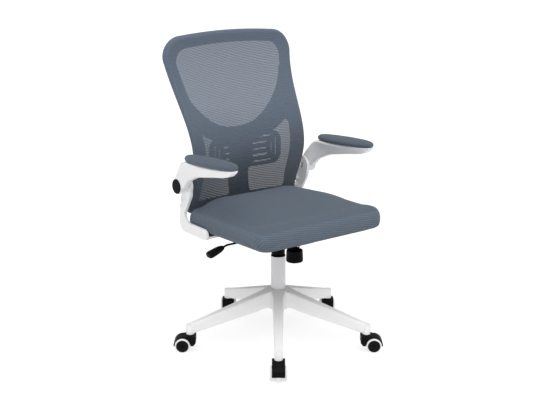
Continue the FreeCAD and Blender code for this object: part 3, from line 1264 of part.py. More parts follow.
def lower_window(side):
    """Opening beside the spine under the yoke."""
    inner, outer = size.spine_w / 2, size.back_low_half - size.rail_w + size.low_window_out
    low, edge = size.back_low + size.rail_w, size.yoke_edge_z - size.yoke_h
    horn = Vector(side * (outer + size.low_window_lean), 0, edge + size.low_window_h)
    arch = Vector(side * outer * ARCH_AT, 0, edge + size.low_window_arch)
    return softened(wire([
        Vector(side * inner, 0, low), Vector(side * outer, 0, low), horn,
        (arch, Vector(side * inner, 0, edge))]), size.low_window_r)


def rim_edges(slab, depth):
    """Edges of a slab of the back that lie on its outline, at a depth behind the front face."""
    sides = [face for face in through_y(back_outline(0)).Faces if abs(face.normalAt(0, 0).y) < 0.5]
    rim = Part.makeShell(sides)
    found = []
    for edge in slab.Edges:
        middle = edge.valueAt((edge.FirstParameter + edge.LastParameter) / 2)
        on_rim = rim.distToShape(Part.Vertex(middle))[0] < NEAR_FACE
        if on_rim and abs(middle.y - back_face_y(middle.z) - depth) < size.cut_margin / 2:
            found.append(edge)
    return found


def back_slab():
    """The whole back as one slab with rounded outer edges."""
    slab = back_band(0, size.rail_d).common(through_y(back_outline(0)))
    slab = slab.makeFillet(size.back_edge_r, rim_edges(slab, 0))
    return slab.makeFillet(size.back_rear_r, rim_edges(slab, size.rail_d))


def largest(shape):
    return max(shape.Solids, key=lambda one: one.Volume)


def lumbar_guide():
    """Rail on the yoke that the lumbar clip slides on."""
    behind = back_face_y(size.lumbar_z) + size.yoke_set + size.yoke_bow + size.guide_sink
    front = size.lumbar_y + size.lumbar_t + size.clip_wall
    tall = size.clip_h + 2 * size.lumbar_travel + size.guide_spare
    low = size.lumbar_z - tall / 2
    head = Part.makeBox(size.guide_w, size.guide_t, tall, Vector(-size.guide_w / 2, front, low))
    neck_low = Vector(-size.guide_neck_w / 2, front, low)
    return [head, Part.makeBox(size.guide_neck_w, behind - front, tall, neck_low)]


def back_frame():
    ring = back_slab().cut(through_y(back_outline(size.rail_w)))
    web = yoke_panel().common(through_y(back_outline(size.rail_w / 2)))
    for opening in (upper_window(), lower_window(1), lower_window(-1)):
        web = web.cut(through_y(opening))
    whole = solid("frame_shape", largest(ring.fuse(web).fuse(lumbar_guide())))
    starts = {"left": "back_low_half - back_screw_bite - 2 * cut_margin",
              "right": "-back_low_half - 2 * cut_margin"}
    holes = []
    for name, start in starts.items():
        for k, (y, z) in enumerate(back_screw_places(), 1):
            length = "back_screw_bite + 4 * cut_margin"
            holes.append(cylinder(f"frame_hole_{k}_{name}", "screw_r + push_gap", length, start, y, z, "x"))
    node("back_frame", cut("frame", whole, fused("frame_holes", holes)))


def back_mesh():
    band = back_band(-size.mesh_t - size.mesh_gap, size.mesh_t)
    cover = band.common(through_y(back_outline(size.back_edge_r)))
    node("back_mesh", solid("mesh", largest(cover)))


def back_screws():
    length = "bracket_in + bracket_t - back_low_half + back_screw_bite"
    outside = "-bracket_in - bracket_t"
    starts = {"left": ("back_low_half - back_screw_bite", BACK_HEAD_X), "right": (outside, outside)}
    made = []
    for k, (y, z) in enumerate(back_screw_places(), 1):
        for name, (shank_x, head_x) in starts.items():
            shank = cylinder(f"back_shank_{k}_{name}", "screw_r", length, shank_x, y, z, "x")
            head = cylinder(f"back_head_{k}_{name}", "screw_head_r", BACK_HEAD_H, head_x, y, z, "x")
            made.append(fused(f"back_screw_{k}_{name}", [shank, head]))
    node("back_screws", compound("back_screw_group", made))


def slot(x, z, length, height):
    """Through slot with round ends in the lumbar pad, centred at x and z."""
    r = height / 2
    a = length / 2 - r
    return through_y(wire([
        Vector(x - a, 0, z - r), Vector(x + a, 0, z - r), (Vector(x + a + r, 0, z), Vector(x + a, 0, z + r)),
        Vector(x - a, 0, z + r), (Vector(x - a - r, 0, z), Vector(x - a, 0, z - r))]))


def lumbar_pad():
    half_w, half_h, z = size.lumbar_w / 2, size.lumbar_h / 2, size.lumbar_z
    radii = [size.lumbar_corner_r] * 4
    plan = round_corners(oblong(half_w, half_h), radii, lambda p: Vector(p.x, size.lumbar_y, z + p.y))
    pad = Part.Face(plan).extrude(Vector(0, size.lumbar_t, 0))
    inner = size.clip_w / 2 + size.lumbar_spine
    pitch = (half_h - size.lumbar_rim) / 2
    for side in (-1, 1):
        for level, end in LUMBAR_ROWS:
            outer = half_w - end
            width = size.lumbar_slot * (WIDE_SLOT if level == WIDE_ROW else 1)
            pad = pad.cut(slot(side * (inner + outer) / 2, z + level * pitch, outer - inner, width))
        for column, tall in LUMBAR_POSTS:
            post = slot(0, 0, tall, size.lumbar_slot)
            post.rotate(Vector(), Y_AXIS, 90)
            post.translate(Vector(side * (half_w - column), 0, z))
            pad = pad.cut(post)
    node("lumbar_pad", solid("lumbar_plate", pad))


def lumbar_clip():
    """Block behind the lumbar pad with a slot that slides on the guide."""
    back_y, low = "lumbar_y + lumbar_t", "lumbar_z - clip_h / 2"
    block = box("clip_block", "clip_w", "guide_t + guide_gap + 2 * clip_wall", "clip_h",
                "-clip_w / 2", back_y, low)
    room_h, room_low = "clip_h + 2 * cut_margin", low + " - cut_margin"
    head = box("clip_head_room", "guide_w + 2 * guide_gap", "guide_t + 2 * guide_gap", room_h,
               "-guide_w / 2 - guide_gap", back_y + " + clip_wall - guide_gap", room_low)
    neck = box("clip_neck_room", "guide_neck_w + 2 * guide_gap", "clip_h", room_h,
               "-guide_neck_w / 2 - guide_gap", back_y + " + clip_wall", room_low)
    node("lumbar_clip", cut("clip_shape", block, fused("clip_room", [head, neck])))


for build in (star_base, casters, column, tilt_mechanism, seat_plate, tension_gear, lever, seat, bracket,
              arm, arm_pad, back_frame, back_mesh, back_screws, lumbar_pad, lumbar_clip):
    build()
doc.recompute()

faults = [f"{thing.Name}: {thing.State}" for thing in doc.Objects if {"Invalid", "Error"} & set(thing.State)]
for label, thing in nodes:
    if thing.Shape.isNull() or not thing.Shape.isValid():
        faults.append(f"{label}: null or invalid shape")
if faults:
    raise RuntimeError("; ".join(faults))

os.makedirs("parts", exist_ok=True)
for label, thing in nodes:
    thing.Shape.exportStep(f"parts/{label}.step")
print(len(nodes), "pieces written")
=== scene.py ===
import json
import math

import bmesh
import bpy
import numpy as np
from mathutils import Matrix, Vector, noise
from mathutils.bvhtree import BVHTree


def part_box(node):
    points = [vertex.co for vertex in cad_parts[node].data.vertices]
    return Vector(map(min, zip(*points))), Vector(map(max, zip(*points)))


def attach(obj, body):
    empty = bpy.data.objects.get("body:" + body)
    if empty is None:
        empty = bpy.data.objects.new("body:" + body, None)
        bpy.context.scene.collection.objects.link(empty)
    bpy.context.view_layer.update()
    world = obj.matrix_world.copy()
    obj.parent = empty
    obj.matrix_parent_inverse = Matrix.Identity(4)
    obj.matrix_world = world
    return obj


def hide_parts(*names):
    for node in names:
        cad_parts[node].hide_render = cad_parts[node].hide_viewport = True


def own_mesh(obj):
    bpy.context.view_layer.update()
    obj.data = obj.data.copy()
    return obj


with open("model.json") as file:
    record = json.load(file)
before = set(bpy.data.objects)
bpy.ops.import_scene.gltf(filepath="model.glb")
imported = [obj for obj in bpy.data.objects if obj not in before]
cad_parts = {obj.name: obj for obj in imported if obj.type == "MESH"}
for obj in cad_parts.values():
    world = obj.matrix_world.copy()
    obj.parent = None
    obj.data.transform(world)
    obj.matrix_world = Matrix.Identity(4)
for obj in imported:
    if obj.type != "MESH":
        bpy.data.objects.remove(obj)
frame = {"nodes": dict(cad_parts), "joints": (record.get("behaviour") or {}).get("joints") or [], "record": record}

for start_object in ("Cube", "Light", "Camera"):
    if start_object in bpy.data.objects:
        bpy.data.objects.remove(bpy.data.objects[start_object])
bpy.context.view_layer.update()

# All lengths are in metres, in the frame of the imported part: +Z up, the chair faces -Y

# Seat cushion, before it is raked
SEAT_FRONT, SEAT_WAIST_Y, SEAT_REAR = -0.255, 0.042, 0.190
SEAT_FRONT_W, SEAT_WAIST_W, SEAT_REAR_W = 0.508, 0.480, 0.478
SEAT_FRONT_R, SEAT_WAIST_R, SEAT_REAR_R = 0.040, 0.400, 0.026
SEAT_LOW, SEAT_EDGE_H, SEAT_H = 0.409, 0.063, 0.097
SEAT_RAKE = math.radians(-3)
SEAT_FRONT_TUCK, SEAT_SIDE_TUCK, SEAT_REAR_TUCK = 0.005, 0.016, 0.012
SEAT_EDGE_IN = 0.0144
DOME_FRONT_IN, DOME_SIDE_IN, DOME_REAR_IN, DOME_R = 0.290, 0.150, 0.060, 0.060
# Largest corner radius as a share of an outline's length from front to rear
SEAT_CORNER_SHARE = 0.2
# Shares of the tuck or of the edge inset, and of the edge height
SEAT_BULGE = ((1, 0), (0.4, 0.12), (0.08, 0.3), (0, 0.5))
SEAT_EDGE = ((0.1, 0.7), (0.42, 0.89), (1, 1))
# Shares of the way from the rolled edge to the top of the dome
SEAT_DOME = (0.05, 0.12, 0.2, 0.28, 0.38, 0.5, 0.62, 0.75, 0.88, 1)
# Soft roll along the upper edge, from a share of the edge height upwards
SEAT_ROLL_H, SEAT_ROLL_INSET, SEAT_ROLL_W = 0.0012, 0.016, 0.011
SEAT_ROLL_FROM = 0.6
SEAT_ARC_STEPS, SEAT_EDGE_STEPS = 12, 30

# Arm pads, before they are raked about the arm pivot
PAD_X, PAD_Y = 0.277, -0.020
PAD_LOW, PAD_H = 0.647, 0.022
PAD_LEN, PAD_W = 0.276, 0.076
PAD_POWER = 2.1
PAD_RING_POINTS = 96
# Insets from the pad's outline, and shares of its height
PAD_SECTIONS = (
    (0.006, 0.0), (0.0022, 0.12), (0.0004, 0.3), (0.0, 0.45), (0.0012, 0.62), (0.0045, 0.78),
    (0.011, 0.9), (0.021, 0.97), (0.033, 1.0))
ARM_RAKE = math.radians(-3)

# Outline of the back, seen from the front
BACK_LOW, BACK_TOP = 0.436, 1.037
BACK_LOW_HALF, BACK_WIDE_HALF = 0.228, 0.260
BACK_SHOULDER_DROP = 0.009
BACK_CORNER_R, BACK_FOOT_R = 0.074, 0.034
BACK_BEND_Z, BACK_SHOULDER_Z = 0.600, 0.935
BACK_FLARE = 0.25
FOOT_STEPS, SIDE_STEPS, FLARE_STEPS, CORNER_STEPS, HALF_ARCH_STEPS = 12, 20, 40, 24, 30

# Mesh of the back
WRAP_R = 0.0125
WRAP_DEPTH = 0.018
MESH_CLEAR = 0.0007
MESH_COLUMN, MESH_ROW = 0.003, 0.002
HEM_WELD, HEM_SLIVER = 0.0004, 0.0001
# The CAD mesh is felt for its front a little beside its middle, away from its edges
FEEL_X, FEEL_START, FEEL_LOW, FEEL_HIGH, FEEL_COUNT = 0.012, 0.2, 0.004, 0.012, 160
FEEL_SLOPE_STEP = 3
RIB_PITCH = 0.0086
RIB_H = 0.0005
RIB_SLANT, RIB_BOW = 0.315, 0.29
NET_LOW_Z, NET_HIGH_Z = 0.60, 0.80
NET_CELL_W = 0.0032
RIB_SHARE = 0.6

# Filled fabric
SEAT_VOXEL, PAD_VOXEL = 0.005, 0.003
FILL_PRESSURE = 4.0
FILL_FRAMES = 20
SEAT_SWELL, PAD_SWELL = 0.0035, 0.0016
SEAT_SWELL_SPARE = 0.001
SEAT_REST_H, PAD_REST_H = 0.008, 0.003

# Tension spring
SPRING_R, SPRING_WIRE_R = 0.015, 0.0022
SPRING_TURNS = 5
SPRING_SIDES, SPRING_TURN_STEPS = 10, 28

# Wheels
DISC_R, DISC_BLEND = 0.0208, 0.0004

# Soft studio light on a wide floor
FLOOR_HALF = 30.0
SKY_STRENGTH = 0.46
KEY_STRENGTH, KEY_SPREAD = 2.65, 70.0
KEY_FROM = (-0.22, -0.36, 1.0)
FLOOR_GLOW = 0.72

# Camera, fitted to the photograph of 547 by 403 pixels
IMAGE_W, FOCAL_PX = 547.0, 1042.0
CAMERA_AZIMUTH, CAMERA_ELEVATION = math.radians(-37.2), math.radians(15.15)
CAMERA_DISTANCE = 3.47
CAMERA_AIM_Z, CAMERA_AIM_SIDE = 0.4927, -0.0158
SENSOR_W_MM = 36.0


# Node materials

class Surface:
    """A material, its principled shader and the nodes that feed it."""

    def __init__(self, name, **sockets):
        self.material = bpy.data.materials.new(name)
        self.material.use_nodes = True
        self.tree = self.material.node_tree
        self.shader = self.tree.nodes["Principled BSDF"]
        self.place = self.add("TexCoord").outputs["Object"]
        for socket, value in sockets.items():
            self.shader.inputs[socket.replace("_", " ")].default_value = value

    def add(self, kind, *inputs, **settings):
        """A node with its inputs in order, each a number, a colour or another node's socket."""
        made = self.tree.nodes.new("ShaderNode" + kind)
        for key, value in settings.items():
            setattr(made, key, value)
        for socket, value in zip(made.inputs, inputs):
            self.feed(socket, value)
        return made

    def feed(self, socket, value):
        if isinstance(value, bpy.types.NodeSocket):
            self.tree.links.new(value, socket)
        elif value is not None:
            socket.default_value = value

    def noise(self, size, detail=3.0):
        """Soft random shade with spots of about one size."""
        return self.add("TexNoise", self.place, None, 1.0 / size, detail).outputs["Fac"]

    def ripple(self, direction, pitch):
        """Even waves along a direction, from 0 to 1."""
        step = Vector(direction).normalized() * (2 * math.pi / pitch)
        phase = self.add("VectorMath", self.place, tuple(step), operation="DOT_PRODUCT").outputs["Value"]
        return self.between(self.math("SINE", phase), 0.0, 1.0, -1.0, 1.0)

    def math(self, operation, *values):
        return self.add("Math", *values, operation=operation).outputs[0]

    def between(self, value, low, high, start=0.0, end=1.0):
        """The value's span from start to end, drawn onto low to high."""
        return self.add("MapRange", value, start, end, low, high).outputs[0]

    def mix(self, share, one, other):
        """One colour going over into another."""
        made = self.tree.nodes.new("ShaderNodeMix")
        made.data_type = "RGBA"
        self.feed(made.inputs["Factor"], share)
        colours = {"A": one, "B": other}
        for socket in made.inputs:
            if socket.type == "RGBA":
                self.feed(socket, colours[socket.name])
        return [socket for socket in made.outputs if socket.type == "RGBA"][0]

    def colour(self, socket):
        self.feed(self.shader.inputs["Base Color"], socket)

    def roughness(self, low, high, size):
        self.feed(self.shader.inputs["Roughness"], self.between(self.noise(size), low, high))

    def bump(self, height, strength, depth):
        made = self.tree.nodes.new("ShaderNodeBump")
        made.inputs["Strength"].default_value = strength
        made.inputs["Distance"].default_value = depth
        self.tree.links.new(height, made.inputs["Height"])
        self.tree.links.new(made.outputs["Normal"], self.shader.inputs["Normal"])


BLACK_GLOSS = 0.06
RUBBED_GAIN, RUBBED_MOST = 1.35, 0.85


def grey(value):
    return (value, value, value, 1.0)


def moulded(name, dark, light, gloss, rough, grain_size, grain):
    """Moulded plastic with faint clouds, a fine spark-eroded grain and rubbed edges."""
    surface = Surface(name, Specular_IOR_Level=gloss)
    clouds = surface.mix(surface.noise(size=0.09), dark, light)
    edge = surface.add("NewGeometry").outputs["Pointiness"]
    rubbed = surface.between(edge, low=0.0, high=0.5, start=0.52, end=0.6)
    paler = tuple(min(RUBBED_MOST, RUBBED_GAIN * c) for c in light[:3]) + (1.0,)
    surface.colour(surface.mix(rubbed, clouds, paler))
    surface.roughness(*rough, size=0.02)
    surface.bump(surface.noise(grain_size, detail=2.0), strength=grain, depth=0.0003)
    return surface.material


def painted(name, dark, light, gloss, rough, peel):
    """Powder coat or enamel with orange peel."""
    surface = Surface(name, Specular_IOR_Level=gloss)
    surface.colour(surface.mix(surface.noise(size=0.12), dark, light))
    surface.roughness(*rough, size=0.03)
    surface.bump(surface.noise(size=0.0016, detail=1.0), strength=peel, depth=0.0002)
    return surface.material


def steel(name):
    """Zinc-plated steel with turning marks."""
    surface = Surface(name, Metallic=1.0)
    surface.colour(surface.mix(surface.noise(size=0.012), grey(0.42), grey(0.62)))
    surface.roughness(low=0.24, high=0.42, size=0.004)
    surface.bump(surface.ripple((0, 0, 1), pitch=0.0006), strength=0.08, depth=0.0001)
    return surface.material


def lining(name):
    """Black non-woven cloth stapled under the seat."""
    surface = Surface(name, Sheen_Weight=0.2)
    surface.colour(surface.mix(surface.noise(size=0.002, detail=5.0), grey(0.012), grey(0.03)))
    surface.roughness(low=0.8, high=0.95, size=0.004)
    surface.bump(surface.noise(size=0.0012, detail=4.0), strength=0.35, depth=0.0004)
    return surface.material


YARN_DARK, YARN_LIGHT = (0.062, 0.085, 0.114, 1.0), (0.099, 0.131, 0.170, 1.0)
# Colour of the painted shade at the foot of the seat's sides
YARN_PAINTED_SHADE = (0.016, 0.022, 0.030, 1.0)
YARN_PITCH = 0.0017
# Directions and pitches of the ribs on the flanks and the front of the seat, and their height in the weave
FLANK_RIBS, FLANK_PITCH = (0, 1, 0.9), 0.0092
BROW_RIBS, BROW_PITCH = (0.12, 0, 1), 0.0062
SIDE_RIB_H = 1.3
WEAVE_H = 0.4
# Painted shade: the cloth is darkened by a share at the first of these heights over the seat's underside, not at
# the second
PAINTED_SHADE_LOW, PAINTED_SHADE_HIGH, PAINTED_SHADE_SHARE = -0.012, 0.05, 0.45


def side_rib_height(surface):
    """Height of the ribs, 0 to 1, on the flanks and the front of the seat, and none on its top."""
    normal = surface.add("SeparateXYZ", surface.tree.nodes["Texture Coordinate"].outputs["Normal"])
    rise = surface.math("ABSOLUTE", normal.outputs["Z"])
    upright = surface.between(rise, low=1.0, high=0.0, start=0.45, end=0.8)
    aside = surface.math("ABSOLUTE", normal.outputs["X"])
    facing = surface.between(aside, low=0.0, high=1.0, start=0.5, end=0.85)
    flank = surface.math("MULTIPLY", surface.ripple(FLANK_RIBS, FLANK_PITCH), facing)
    ahead = surface.math("SUBTRACT", 1.0, facing)
    brow = surface.math("MULTIPLY", surface.ripple(BROW_RIBS, BROW_PITCH), ahead)
    return surface.math("MULTIPLY", surface.math("ADD", flank, brow), upright)


def woven(name, side_ribs_and_painted_shade):
    """Blue-grey woven cloth; on the seat also ribbed, with painted shade darkening its sides towards its
    underside.
    """
    surface = Surface(name, Sheen_Weight=0.12, Sheen_Roughness=0.45)
    warp, weft = surface.ripple((1, 0, 0), YARN_PITCH), surface.ripple((0, 1, 0), YARN_PITCH)
    weave = surface.math("MULTIPLY", surface.math("MULTIPLY", warp, weft), WEAVE_H)
    heather = surface.math("MULTIPLY", surface.noise(size=0.003, detail=4.0), WEAVE_H)
    height = surface.math("ADD", weave, heather)
    if side_ribs_and_painted_shade:
        ribs = side_rib_height(surface)
        height = surface.math("ADD", height, surface.math("MULTIPLY", ribs, SIDE_RIB_H))
    cloth = surface.mix(surface.between(height, low=0.0, high=1.0, start=0.1, end=1.2), YARN_DARK, YARN_LIGHT)
    if side_ribs_and_painted_shade:
        # Painted shade: the cloth darkens over the span just above the seat's underside
        at = surface.add("SeparateXYZ", surface.place)
        tuck = SEAT_LOW + PAINTED_SHADE_LOW, SEAT_LOW + PAINTED_SHADE_HIGH
        cloth = surface.mix(surface.between(at.outputs["Z"], PAINTED_SHADE_SHARE, 0.0, *tuck), cloth, YARN_PAINTED_SHADE)
    surface.colour(cloth)
    surface.roughness(low=0.75, high=0.92, size=0.01)
    surface.bump(height, strength=0.6, depth=0.0009)
    return surface.material


# Colours of the net between and on its ribs, in its lower part darkened as painted shade and in its upper part
NET_PAINTED_SHADE = (0.070, 0.091, 0.120, 1.0), (0.066, 0.087, 0.115, 1.0)
NET_BRIGHT = (0.103, 0.133, 0.180, 1.0), (0.094, 0.122, 0.166, 1.0)
# Share of the light that the net stops between and on its ribs, and how much more in its lower part
NET_COVER = 0.845, 1.0
NET_LOWER_COVER = 0.015
# In its lower part it stops still more towards the sitter's right, over this width
NET_RIGHT_COVER, NET_RIGHT_W = 0.06, 0.2


def net(name):
    """See-through elastic mesh with painted shade over its lower part, denser along its ribs and, at its foot,
    towards the sitter's right.
    """
    surface = Surface(name, Sheen_Weight=0.1, Sheen_Roughness=0.5)
    at = surface.add("SeparateXYZ", surface.place)
    x, z = at.outputs["X"], at.outputs["Z"]
    bow = surface.math("MULTIPLY", surface.math("MULTIPLY", x, x), -RIB_BOW)
    slanted = surface.math("ADD", z, surface.math("MULTIPLY", x, RIB_SLANT))
    wander = surface.between(surface.noise(size=0.05), low=-0.5 * RIB_PITCH, high=0.5 * RIB_PITCH)
    line = surface.math("ADD", surface.math("ADD", slanted, bow), wander)
    wave = surface.math("SINE", surface.math("MULTIPLY", line, 2 * math.pi / RIB_PITCH))
    ribs = surface.between(wave, low=0.0, high=1.0, start=-1.0, end=1.0)
    rows, columns = surface.ripple((0.1, 0, 1), RIB_PITCH / 3), surface.ripple((1, 0, 0), NET_CELL_W)
    cell = surface.math("MULTIPLY", surface.math("MULTIPLY", rows, columns), 1 - RIB_SHARE)
    body = surface.math("ADD", surface.math("MULTIPLY", ribs, RIB_SHARE), cell)
    # Painted shade: the net's colour darkens from its upper part down to its lower part
    upper = surface.between(z, low=0.0, high=1.0, start=NET_LOW_Z, end=NET_HIGH_Z)
    surface.colour(surface.mix(upper, surface.mix(body, *NET_PAINTED_SHADE), surface.mix(body, *NET_BRIGHT)))
    lower = surface.math("SUBTRACT", 1.0, upper)
    right = surface.between(x, low=NET_RIGHT_COVER, high=0.0, start=-NET_RIGHT_W, end=0.0)
    lower_right = surface.math("MULTIPLY", right, lower)
    more = surface.math("ADD", surface.between(lower, 0.0, NET_LOWER_COVER), lower_right)
    cover = surface.math("ADD", surface.between(body, *NET_COVER), more)
    surface.feed(surface.shader.inputs["Alpha"], surface.math("MINIMUM", cover, 1.0))
    surface.roughness(low=0.7, high=0.9, size=0.01)
    surface.bump(body, strength=0.4, depth=0.0006)
    return surface.material


TYRE_SHADE, TYRE_LIGHT = (0.66, 0.66, 0.67, 1.0), (0.82, 0.82, 0.83, 1.0)


def wheel(name, centre, axis):
    """Black wheel disc inside a pale tyre, told apart by the distance from the axle."""
    surface = Surface(name, Specular_IOR_Level=BLACK_GLOSS)
    arm = surface.add("VectorMath", surface.place, tuple(centre), operation="SUBTRACT").outputs["Vector"]
    across = surface.add("VectorMath", arm, tuple(axis), operation="CROSS_PRODUCT").outputs["Vector"]
    radius = surface.add("VectorMath", across, operation="LENGTH").outputs["Value"]
    tyre = surface.between(radius, low=0.0, high=1.0, start=DISC_R, end=DISC_R + DISC_BLEND)
    disc = surface.mix(surface.noise(size=0.01), grey(0.004), grey(0.009))
    scuffed = surface.mix(surface.noise(size=0.006, detail=5.0), TYRE_SHADE, TYRE_LIGHT)
    surface.colour(surface.mix(tyre, disc, scuffed))
    surface.roughness(low=0.35, high=0.55, size=0.006)
    surface.bump(surface.noise(size=0.0012, detail=2.0), strength=0.08, depth=0.0003)
    return surface.material


NYLON_SHADE, NYLON_LIGHT = (0.77, 0.77, 0.78, 1.0), (0.815, 0.815, 0.821, 1.0)
ENAMEL_SHADE, ENAMEL_LIGHT = (0.735, 0.735, 0.75, 1.0), (0.775, 0.775, 0.787, 1.0)
BLACK_SHADE, BLACK_LIGHT = grey(0.0015), grey(0.004)
WHITE_NYLON = moulded("white_nylon", NYLON_SHADE, NYLON_LIGHT, gloss=0.4, rough=(0.36, 0.5),
                      grain_size=0.0008, grain=0.07)
WHITE_ENAMEL = painted("white_enamel", ENAMEL_SHADE, ENAMEL_LIGHT, gloss=0.45, rough=(0.26, 0.36), peel=0.05)
BLACK_PLASTIC = moulded("black_plastic", BLACK_SHADE, BLACK_LIGHT, gloss=BLACK_GLOSS, rough=(0.38, 0.55),
                        grain_size=0.0009, grain=0.12)
BLACK_ENAMEL = painted("black_enamel", BLACK_SHADE, BLACK_LIGHT, gloss=BLACK_GLOSS, rough=(0.4, 0.55),
                       peel=0.14)
STEEL = steel("bright_steel")
LINING = lining("seat_lining")
SEAT_CLOTH = woven("seat_cloth", side_ribs_and_painted_shade=True)
PAD_CLOTH = woven("pad_cloth", side_ribs_and_painted_shade=False)
NET = net("back_net")

SLOT_MATERIALS = {
    "white_nylon": WHITE_NYLON, "white_enamel": WHITE_ENAMEL, "black_plastic": BLACK_PLASTIC,
    "black_enamel": BLACK_ENAMEL, "bright_steel": STEEL, "seat_board": LINING,
}
# Steel pieces of the tension knob that are shown black, as the axles are
BLACKENED = ("tension_washer", "tension_bolt")


def joint_named(name):
    return [joint for joint in frame["joints"] if joint["name"] == name][0]


def dress_nodes():
    """Gives each carried-over CAD node the material of its slot."""
    for part in frame["record"]["subparts"]:
        name = part["node"]
        node = frame["nodes"][name]
        if "_wheel_" in name:
            roll = joint_named(name.replace("wheel", "roll"))
            material = wheel(name, roll["pos_m"], roll["axis"])
        elif name.endswith("_axle") or name in BLACKENED:
            material = BLACK_ENAMEL
        else:
            material = SLOT_MATERIALS.get(part["material_slot"], PAD_CLOTH)
        node.data.materials.clear()
        node.data.materials.append(material)


# Mesh helpers

def mesh_object(name, points, faces, material):
    """Smooth piece of one material."""
    mesh = bpy.data.meshes.new(name)
    mesh.from_pydata([tuple(p) for p in points], [], faces)
    mesh.validate()
    piece = bpy.data.objects.new(name, mesh)
    bpy.context.collection.objects.link(piece)
    mesh.materials.append(material)
    mesh.shade_smooth()
    return piece


def stacked(name, rings, material):
    """Closed skin over a stack of rings with equal counts."""
    count = len(rings[0])
    points = [p for ring in rings for p in ring]
    faces = []
    for level in range(len(rings) - 1):
        for k in range(count):
            a, b = level * count + k, level * count + (k + 1) % count
            faces.append((a, b, b + count, a + count))
    faces.append(tuple(reversed(range(count))))
    faces.append(tuple(range((len(rings) - 1) * count, len(rings) * count)))
    return mesh_object(name, points, faces, material)


def remeshed(piece, voxel):
    """Even closed grid over the piece's skin."""
    modifier = piece.modifiers.new("even", "REMESH")
    modifier.mode = "VOXEL"
    modifier.voxel_size = voxel
    apply_modifiers(piece)


def apply_modifiers(piece):
    """Puts the piece's modifiers into its mesh."""
    graph = bpy.context.evaluated_depsgraph_get()
    mesh = bpy.data.meshes.new_from_object(piece.evaluated_get(graph))
    materials = list(piece.data.materials)
    piece.modifiers.clear()
    piece.data = mesh
    mesh.materials.clear()
    for material in materials:
        mesh.materials.append(material)
    mesh.shade_smooth()


def fill_with_foam(piece, rest_height, cap):
    """Swells the closed skin as filled cloth, held where it rests, each point moving no more than the cap."""
    mesh = piece.data
    before = [v.co.copy() for v in mesh.vertices]
    held = piece.vertex_groups.new(name="held")
    held.add([v.index for v in mesh.vertices if v.co.z < rest_height], 1.0, "ADD")
    cloth = piece.modifiers.new("fill", "CLOTH")
    cloth.settings.use_pressure = True
    cloth.settings.uniform_pressure_force = FILL_PRESSURE
    cloth.settings.vertex_group_mass = held.name
    cloth.settings.effector_weights.gravity = 0.0
    cloth.collision_settings.use_collision = False
    cloth.point_cache.frame_start = 1
    cloth.point_cache.frame_end = FILL_FRAMES
    scene = bpy.context.scene
    for number in range(1, FILL_FRAMES + 1):
        scene.frame_set(number)
    swollen = piece.evaluated_get(bpy.context.evaluated_depsgraph_get()).data
    after = [v.co.copy() for v in swollen.vertices]
    piece.modifiers.remove(cloth)
    scene.frame_set(1)
    for vertex, old, new in zip(mesh.vertices, before, after):
        step = new - old
        if step.length > cap:
            step *= cap / step.length
        vertex.co = old + step


def fitted(piece, low, high):
    """Brings a filled skin to the box that it is meant to fill."""
    points = np.array([vertex.co for vertex in piece.data.vertices])
    least, most = points.min(axis=0), points.max(axis=0)
    points = np.array(low) + (points - least) * (np.array(high) - np.array(low)) / (most - least)
    piece.data.vertices.foreach_set("co", points.ravel())
    piece.data.update()


def uneven(piece, size, depth):
    """Slight hand-felt unevenness of foam under cloth."""
    normals = [vertex.normal.copy() for vertex in piece.data.vertices]
    for vertex, normal in zip(piece.data.vertices, normals):
        vertex.co += normal * (noise.noise(vertex.co / size) * depth)


def smooth_skin(piece):
    modifier = piece.modifiers.new("smooth_skin", "SUBSURF")
    modifier.levels = 1
    modifier.render_levels = 1


# Seat cushion

def rounded_ring(corners, radii):
    """Outline of a polygon with rounded corners, as even points in the plane."""
    ring = []
    count = len(corners)
    tangents = []
    for k, (corner, radius) in enumerate(zip(corners, radii)):
        back = (corners[k - 1] - corner).normalized()
        ahead = (corners[(k + 1) % count] - corner).normalized()
        half = back.angle(ahead) / 2
        reach = radius / math.tan(half)
        centre = corner + (back + ahead).normalized() * (radius / math.sin(half))
        tangents.append((corner + back * reach, corner + ahead * reach, centre))
    for k, (start, end, centre) in enumerate(tangents):
        a, b = start - centre, end - centre
        turn = a.angle_signed(b)
        for step in range(SEAT_ARC_STEPS):
            ring.append(centre + Matrix.Rotation(-turn * step / SEAT_ARC_STEPS, 2) @ a)
        following = tangents[(k + 1) % count][0]
        for step in range(SEAT_EDGE_STEPS):
            ring.append(end.lerp(following, step / SEAT_EDGE_STEPS))
    return ring


def seat_ring(height, front_in, side_in, rear_in, front_r=SEAT_FRONT_R, rear_r=SEAT_REAR_R):
    """Rounded plan outline of the seat drawn in at front, sides and rear, at a height."""
    front, rear = SEAT_FRONT + front_in, SEAT_REAR - rear_in
    share = (rear - front) / (SEAT_REAR - SEAT_FRONT)
    waist = rear - (SEAT_REAR - SEAT_WAIST_Y) * share
    halves = [width / 2 - side_in for width in (SEAT_FRONT_W, SEAT_WAIST_W, SEAT_REAR_W)]
    right = [Vector(place) for place in zip(halves, (front, waist, rear))]
    left = [Vector((-p.x, p.y)) for p in reversed(right)]
    most = SEAT_CORNER_SHARE * (rear - front)
    front_r, rear_r, waist_r = min(front_r, most), min(rear_r, most), SEAT_WAIST_R * share
    radii = [front_r, waist_r, rear_r, rear_r, waist_r, front_r]
    return [Vector((p.x, p.y, height)) for p in rounded_ring(right + left, radii)]


